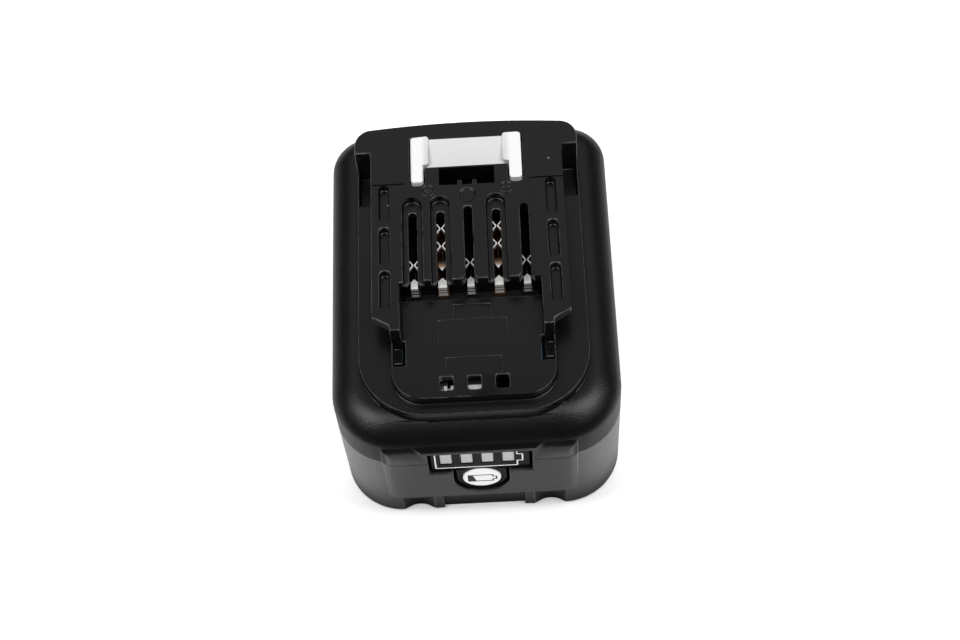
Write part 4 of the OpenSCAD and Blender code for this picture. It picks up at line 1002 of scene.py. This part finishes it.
class BATTERY_OT_stage(bpy.types.Operator):
    """Sets up the floor, the soft light and the camera"""

    bl_idname = "battery_pack.stage"
    bl_label = "Studio"

    def execute(self, context):
        studio = settings().studio
        self.floor(studio)
        for name, side in (("Left light", -1.0), ("Right light", 1.0)):
            self.soft_box(name, studio.side, size=(0.8, 0.8), place=(0.66 * side, -0.3, 1.12),
                          aim=(0.0, 0.0, 0.03))
        self.soft_box("Strip", studio.strip, size=(0.7, 0.14), place=(0.2, -0.2, 1.25),
                      aim=(0.0, -0.03, 0.04))
        self.soft_box("Ceiling", studio.ceiling, size=(2.4, 1.2), place=(0.0, 1.12, 1.2),
                      aim=(0.0, 1.12, 0.0))
        self.room(context.scene, studio)
        self.camera(context.scene, studio)
        return {"FINISHED"}

    def floor(self, studio):
        mesh = bpy.data.meshes.new("Floor")
        half, low = 2.5, -0.02 * MM
        mesh.from_pydata([(-half, -half, low), (half, -half, low), (half, half, low), (-half, half, low)],
                         [], [(0, 1, 2, 3)])
        floor = bpy.data.objects.new("Floor", mesh)
        bpy.context.scene.collection.objects.link(floor)
        mesh.materials.append(self.pale_floor(studio))

    def pale_floor(self, studio):
        """Pale floor that glows, whose reflections are painted darker near the pack and which has a painted
        shadow in front of it.
        """
        black, dark, dusk, grey, white = (rgba((v, v, v)) for v in (0.0, 0.02, 0.05, 0.3, 1.0))
        # The footprint without its round corners, and where each shade starts and ends, in metres
        straight = (0.021, 0.03, 1.0)
        dark_rim, lit_rim = (0.01, 0.0155), (0.011, 0.024)
        open_front, open_side, lit_rear = (-0.082, -0.1), (0.019, 0.033), (-0.04, -0.03)
        material, tree, shader, place = new_material(
            "Pale floor", Roughness=0.6, Emission_Strength=studio.glow
        )
        pale = blend(tree, noise(tree, place, 30.0, 3.0), rgba(studio.floor), rgba(studio.floor, 0.97))
        x, y, _ = axes_of(tree, place)
        # Glossy rays see painted reflections: darker near the pack and in front, lighter to the sides.
        mirrored = add(tree, "ShaderNodeLightPath").outputs["Is Glossy Ray"]
        corner = vector_node(tree, "SUBTRACT", vector_node(tree, "ABSOLUTE", place)[0], straight)[0]
        corner = vector_node(tree, "MAXIMUM", corner, (0.0, 0.0, 0.0))[0]
        away = vector_node(tree, "LENGTH", corner)["Value"]
        front = between(tree, y, *open_front)
        aside = between(tree, math_node(tree, "ABSOLUTE", x), *open_side)
        near = times(tree, between(tree, away, *dark_rim), math_node(tree, "SUBTRACT", 1.0, front))
        dim = blend(tree, aside, rgba(studio.floor, 0.6), rgba(studio.floor))
        dim = blend(tree, near, dark, dim)
        faint = blend(tree, aside, grey, white)
        faint = blend(tree, near, black, faint)
        # The glow dims close to the front of the pack: a painted shadow.
        glow = math_node(tree, "MAXIMUM", between(tree, away, *lit_rim), between(tree, y, *lit_rear))
        lit = blend(tree, glow, dusk, white)
        dress(tree, shader, Base_Color=blend(tree, mirrored, pale, dim),
              Emission_Color=blend(tree, mirrored, lit, faint))
        return material

    def soft_box(self, name, power, size, place, aim):
        data = bpy.data.lights.new(name, "AREA")
        data.shape = "RECTANGLE"
        data.size, data.size_y = size
        data.energy = power
        light = bpy.data.objects.new(name, data)
        light.location = place
        light.rotation_mode = "QUATERNION"
        light.rotation_quaternion = (Vector(aim) - Vector(place)).to_track_quat("-Z", "Y")
        bpy.context.scene.collection.objects.link(light)

    def room(self, scene, studio):
        world = bpy.data.worlds.new("Room")
        world.use_nodes = True
        background = world.node_tree.nodes["Background"]
        background.inputs["Color"].default_value = (1.0, 1.0, 1.0, 1.0)
        background.inputs["Strength"].default_value = studio.world
        scene.world = world
        scene.view_settings.view_transform = "Standard"

    def camera(self, scene, studio):
        data = bpy.data.cameras.new("Camera")
        data.lens = studio.lens
        data.sensor_width = 36.0
        data.sensor_fit = "HORIZONTAL"
        data.clip_start, data.clip_end = 0.01, 20.0
        camera = bpy.data.objects.new("Camera", data)
        right = (0.99838036, -0.03304221, -0.04631140)
        up = (0.05132279, 0.87433994, 0.48259258)
        back = (0.02454598, -0.48418784, 0.87461972)
        turn = Matrix((right, up, back)).transposed().to_4x4()
        camera.matrix_world = Matrix.Translation((0.0124397, -0.2271956, 0.4299716)) @ turn
        scene.collection.objects.link(camera)
        scene.camera = camera


class BATTERY_OT_casing(bpy.types.Operator):
    """Rounds the edges of the two shells and gives them their grained plastic"""

    bl_idname = "battery_pack.casing"
    bl_label = "Casing"

    def execute(self, context):
        detail = settings().detail
        edge = detail.shell_edge
        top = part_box("upper_housing")[1].z
        well_rear, rails = 27.35 * MM, 20.0 * MM

        def on_lip(spot):
            return abs(spot.y - well_rear) < 0.05 * MM and top - spot.z < 0.05 * MM and abs(spot.x) > rails

        rounded_copy("lower_housing", "Lower_shell", edge, casing_plastic(), "pack")
        rounded_copy("upper_housing", "Upper_shell", edge, casing_plastic(), "pack",
                     lips=(detail.lip_edge, on_lip))
        return {"FINISHED"}


class BATTERY_OT_latch(bpy.types.Operator):
    """Makes the white latch, the release button and the retainer"""

    bl_idname = "battery_pack.latch"
    bl_label = "Latch"

    def execute(self, context):
        d = settings().detail
        rounded_copy("latch_hook", "Latch", d.latch_edge, latch_moulding(), "latch")
        rounded_copy("release_button", "Release_button", d.shell_edge, casing_plastic(), "latch")
        rounded_copy("latch_retainer", "Latch_retainer", d.small_edge, inner_moulding(), "pack")
        return {"FINISHED"}


class BATTERY_OT_springs(bpy.types.Operator):
    """Winds the two latch springs"""

    bl_idname = "battery_pack.springs"
    bl_label = "Springs"

    def execute(self, context):
        low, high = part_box("latch_spring_right")
        wire = 0.25 * MM
        curls = settings().detail.spring_curls
        steel = metal("Spring wire", settings().colours.steel, 0.28, 0.25, 1500.0)
        mesh = grown_mesh(
            "Latch_springs", coil_tree(steel),
            {"Radius": (high.x - low.x) / 2 - wire, "Wire": wire, "Low": low.z + wire, "High": high.z - wire,
             "Curls": float(curls), "Points": curls * 20 + 1, "Spread": (low.x + high.x) / 2,
             "Place": (low.y + high.y) / 2},
        )
        nodes = ["latch_spring_left", "latch_spring_right"]
        springs = placed_piece("Latch_springs", mesh, steel, "pack", nodes, 60)
        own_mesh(springs)
        return {"FINISHED"}


class BATTERY_OT_gauge(bpy.types.Operator):
    """Makes the gauge's panel, lenses, prints and check button"""

    bl_idname = "battery_pack.gauge"
    bl_label = "Gauge"

    def execute(self, context):
        detail, colours = settings().detail, settings().colours
        rounded_copy("gauge_panel", "Gauge_panel", detail.small_edge, panel_film(), "pack")
        rounded_copy("gauge_lenses", "Gauge_lenses", detail.small_edge, lens_plastic(), "pack")
        rounded_copy("check_button", "Check_button", detail.small_edge * 2, button_moulding(), "check_button",
                     3)
        white = ink("White ink", colours.print_white)
        dark = ink("Dark ink", colours.print_dark)
        self.outline(white, detail)
        self.sign(dark, detail)
        resin = moulded_plastic("Clear resin", RECORD_COLOURS["led_resin"], 0.2, 0.05, 0.4 * MM, 0.002 * MM)
        paint(["gauge_lights"], resin)
        return {"FINISHED"}

    def outline(self, material, detail):
        """The battery outline round the windows, with its pole at the right."""
        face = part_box("gauge_panel")[0].y - 0.3 * detail.print_height
        left, right, pole = -10.4 * MM, 8.5 * MM, 9.75 * MM
        bottom, top, pole_low, pole_high = 24.45 * MM, 32.1 * MM, 26.9 * MM, 30.35 * MM
        mesh = grown_mesh(
            "Gauge_outline", printed_line_tree(material),
            {"Width": detail.print_width, "Thickness": detail.print_height, "Round": 0.05 * MM,
             "Place": (0.0, face, 0.0)},
            battery_path(left, right, pole, bottom, top, pole_low, pole_high),
        )
        placed_piece("Gauge_outline", mesh, material, "pack", [], 40)

    def sign(self, material, detail):
        """A small battery on the check button, filled at its left end."""
        low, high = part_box("check_button")
        middle_x, middle_z = (low.x + high.x) / 2, (low.z + high.z) / 2
        left, right, pole = -3.2 * MM, 2.55 * MM, 3.4 * MM
        half, pole_half = 1.6 * MM, 0.7 * MM
        ink_t = detail.print_height
        face = low.y - 0.3 * ink_t
        mesh = grown_mesh(
            "Check_sign", printed_line_tree(material),
            {"Width": detail.sign_width, "Thickness": ink_t, "Round": 0.04 * MM,
             "Place": (middle_x, face, middle_z)},
            battery_path(left, right, pole, -half, half, -pole_half, pole_half),
        )
        placed_piece("Check_sign", mesh, material, "check_button", [], 40)
        fill = bmesh.new()
        corners = [(left, -half), (-1.3 * MM, -half), (-2.2 * MM, half), (left, half)]
        front, back = ([fill.verts.new((middle_x + x, y, middle_z + z)) for x, z in corners]
                       for y in (face - ink_t / 2, face + ink_t / 2))
        fill.faces.new(front)
        fill.faces.new(back[::-1])
        for i in range(4):
            j = (i + 1) % 4
            fill.faces.new((front[j], front[i], back[i], back[j]))
        bmesh.ops.recalc_face_normals(fill, faces=fill.faces)
        mesh = bpy.data.meshes.new("Check_sign_fill")
        fill.to_mesh(mesh)
        fill.free()
        placed_piece("Check_sign_fill", mesh, material, "check_button", [], 40)


class BATTERY_OT_contacts(bpy.types.Operator):
    """Gives the contacts their plating, with painted shade and highlights, and the carrier its moulding"""

    bl_idname = "battery_pack.contacts"
    bl_label = "Contacts"

    def execute(self, context):
        detail, colours = settings().detail, settings().colours
        # The strip colours are painted shade, darker than the metal, and the band colours paint the shade of
        # each tip's bend.
        power = contact_metal("Power contact", "positive_terminal", (0.16, 0.065, 0.035),
                              tuple(v * 0.5 for v in colours.copper), colours.copper)
        signal = contact_metal("Signal contact", "signal_terminal_left", (0.03, 0.028, 0.025),
                               (0.02, 0.02, 0.02))
        rounded_copy("contact_carrier", "Contact_carrier", detail.small_edge, inner_moulding(), "pack")
        paint(["positive_terminal", "negative_terminal"], power)
        paint(["signal_terminal_left", "signal_terminal_middle", "signal_terminal_right"], signal)
        return {"FINISHED"}


class BATTERY_OT_screws(bpy.types.Operator):
    """Puts a socket-head screw at each of the four corners of the bottom"""

    bl_idname = "battery_pack.screws"
    bl_label = "Screws"

    def execute(self, context):
        low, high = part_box("housing_screws")
        head_r, shank_r, head_t = 2.2 * MM, 1.2 * MM, 1.6 * MM
        steel = metal("Zinc plate", RECORD_COLOURS["screw_steel"], 0.34, 0.2, 1100.0)
        mesh = grown_mesh(
            "Housing_screws", four_places_tree(steel),
            {"Front Spread": 23.5 * MM, "Front Place": low.y + head_r, "Rear Spread": 23.0 * MM,
             "Rear Place": high.y - head_r},
            self.screw(head_r, shank_r, head_t, low.z, high.z),
        )
        placed_piece("Housing_screws", mesh, steel, "pack", ["housing_screws"], 40)
        return {"FINISHED"}

    def screw(self, head_r, shank_r, head_t, low, high):
        """One screw that points up, with a six-lobed socket in its head."""
        sides, lobes = 48, 6
        socket_r, socket_depth = 1.05 * MM, 1.0 * MM

        def ring(radius, z, wave=0.0):
            turns = [2 * math.pi * i / sides for i in range(sides)]
            return [((radius + wave * math.cos(lobes * t)) * math.cos(t),
                     (radius + wave * math.cos(lobes * t)) * math.sin(t), z) for t in turns]

        lobe = 0.16 * MM
        rim = 0.25 * MM
        rings = [
            ring(socket_r - 0.12 * MM, low + socket_depth, lobe), ring(socket_r, low + 0.1 * MM, lobe),
            ring(socket_r + 0.1 * MM, low, lobe), ring(head_r - rim, low),
            ring(head_r - rim * 0.3, low + rim * 0.3), ring(head_r, low + rim),
            ring(head_r, low + head_t), ring(shank_r, low + head_t),
        ]
        pitch, thread = 1.1 * MM, 0.12 * MM
        z = low + head_t + pitch
        while z < high - pitch:
            rings += [ring(shank_r - thread, z), ring(shank_r, z + pitch * 0.35),
                      ring(shank_r - thread, z + pitch * 0.7)]
            z += pitch
        rings.append(ring(shank_r - 2 * thread, high))
        bm = bmesh.new()
        loops = [[bm.verts.new(p) for p in points] for points in rings]
        for first, second in zip(loops, loops[1:]):
            for i in range(sides):
                j = (i + 1) % sides
                bm.faces.new((first[i], first[j], second[j], second[i]))
        bm.faces.new(loops[0][::-1])
        bm.faces.new(loops[-1])
        bmesh.ops.recalc_face_normals(bm, faces=bm.faces)
        mesh = bpy.data.meshes.new("screw")
        bm.to_mesh(mesh)
        bm.free()
        return mesh


class BATTERY_OT_cells(bpy.types.Operator):
    """Finishes the cells, their frames, links, sheets and leads"""

    bl_idname = "battery_pack.cells"
    bl_label = "Cells"

    def execute(self, context):
        detail, colours = settings().detail, settings().colours
        layers = [f"cell_{row}_{side}" for row in ("lower", "upper") for side in ("left", "middle", "right")]
        paint(layers, shrink_film())
        paint(["cell_end_rings"], fibre_card("Fibre card", colours.card))
        paint(["front_insulating_sheet", "rear_insulating_sheet"], fibre_card("Fibre sheet", colours.sheet))
        paint(["front_cell_links", "rear_cell_links"], metal("Nickel plate", colours.nickel, 0.26, 0.2))
        for end in ("front", "rear"):
            rounded_copy(f"cell_frame_{end}", f"Cell_frame_{end}", detail.small_edge, inner_moulding(),
                         "pack")
        paint(["positive_lead"], sleeve("Red sleeve", colours.lead))
        paint(["sense_lead"], sleeve("White sleeve", colours.white))
        return {"FINISHED"}


class BATTERY_OT_boards(bpy.types.Operator):
    """Finishes the boards, their parts, the flat cable and its plug"""

    bl_idname = "battery_pack.boards"
    bl_label = "Boards"

    def execute(self, context):
        detail = settings().detail
        paint(["main_board", "gauge_board"], solder_mask())
        resin = moulded_plastic("Chip resin", RECORD_COLOURS["chip_resin"], 0.55, 0.05, 0.2 * MM, 0.006 * MM)
        paint(["power_transistors", "control_chip", "thermistor", "check_switch"], resin)
        ceramic = moulded_plastic("Ceramic", RECORD_COLOURS["ceramic"], 0.4, 0.08, 0.3 * MM, 0.004 * MM)
        paint(["board_capacitors"], ceramic)
        paint(["switch_plunger"], inner_moulding())
        paint(["gauge_cable"], sleeve("Flat cable", settings().colours.cable))
        rounded_copy("cable_plug", "Cable_plug", detail.small_edge, white_moulding(), "pack")
        return {"FINISHED"}


OPERATORS = (
    BATTERY_OT_stage, BATTERY_OT_casing, BATTERY_OT_latch, BATTERY_OT_springs, BATTERY_OT_gauge,
    BATTERY_OT_contacts, BATTERY_OT_screws, BATTERY_OT_cells, BATTERY_OT_boards,
)


class VIEW3D_PT_battery_pack(bpy.types.Panel):
    """Settings and steps of the battery pack's finish"""

    bl_label = "Battery pack"
    bl_space_type = "VIEW_3D"
    bl_region_type = "UI"
    bl_category = "Battery pack"

    def draw(self, context):
        for group in (settings().colours, settings().detail, settings().studio):
            box = self.layout.box()
            for key in group.__annotations__:
                box.prop(group, key)
        for operator in OPERATORS:
            self.layout.operator(operator.bl_idname)


CLASSES = (PackColours, PackDetail, PackStudio, PackSettings, *OPERATORS, VIEW3D_PT_battery_pack)


def register():
    for item in CLASSES:
        bpy.utils.register_class(item)
    bpy.types.Scene.battery_pack = PointerProperty(type=PackSettings)


def unregister():
    del bpy.types.Scene.battery_pack
    for item in reversed(CLASSES):
        bpy.utils.unregister_class(item)


def main():
    """Registers the add-on and makes every piece."""
    register()
    bpy.ops.battery_pack.stage()
    bpy.ops.battery_pack.casing()
    bpy.ops.battery_pack.latch()
    bpy.ops.battery_pack.springs()
    bpy.ops.battery_pack.gauge()
    bpy.ops.battery_pack.contacts()
    bpy.ops.battery_pack.screws()
    bpy.ops.battery_pack.cells()
    bpy.ops.battery_pack.boards()


if __name__ == "__main__":
    main()
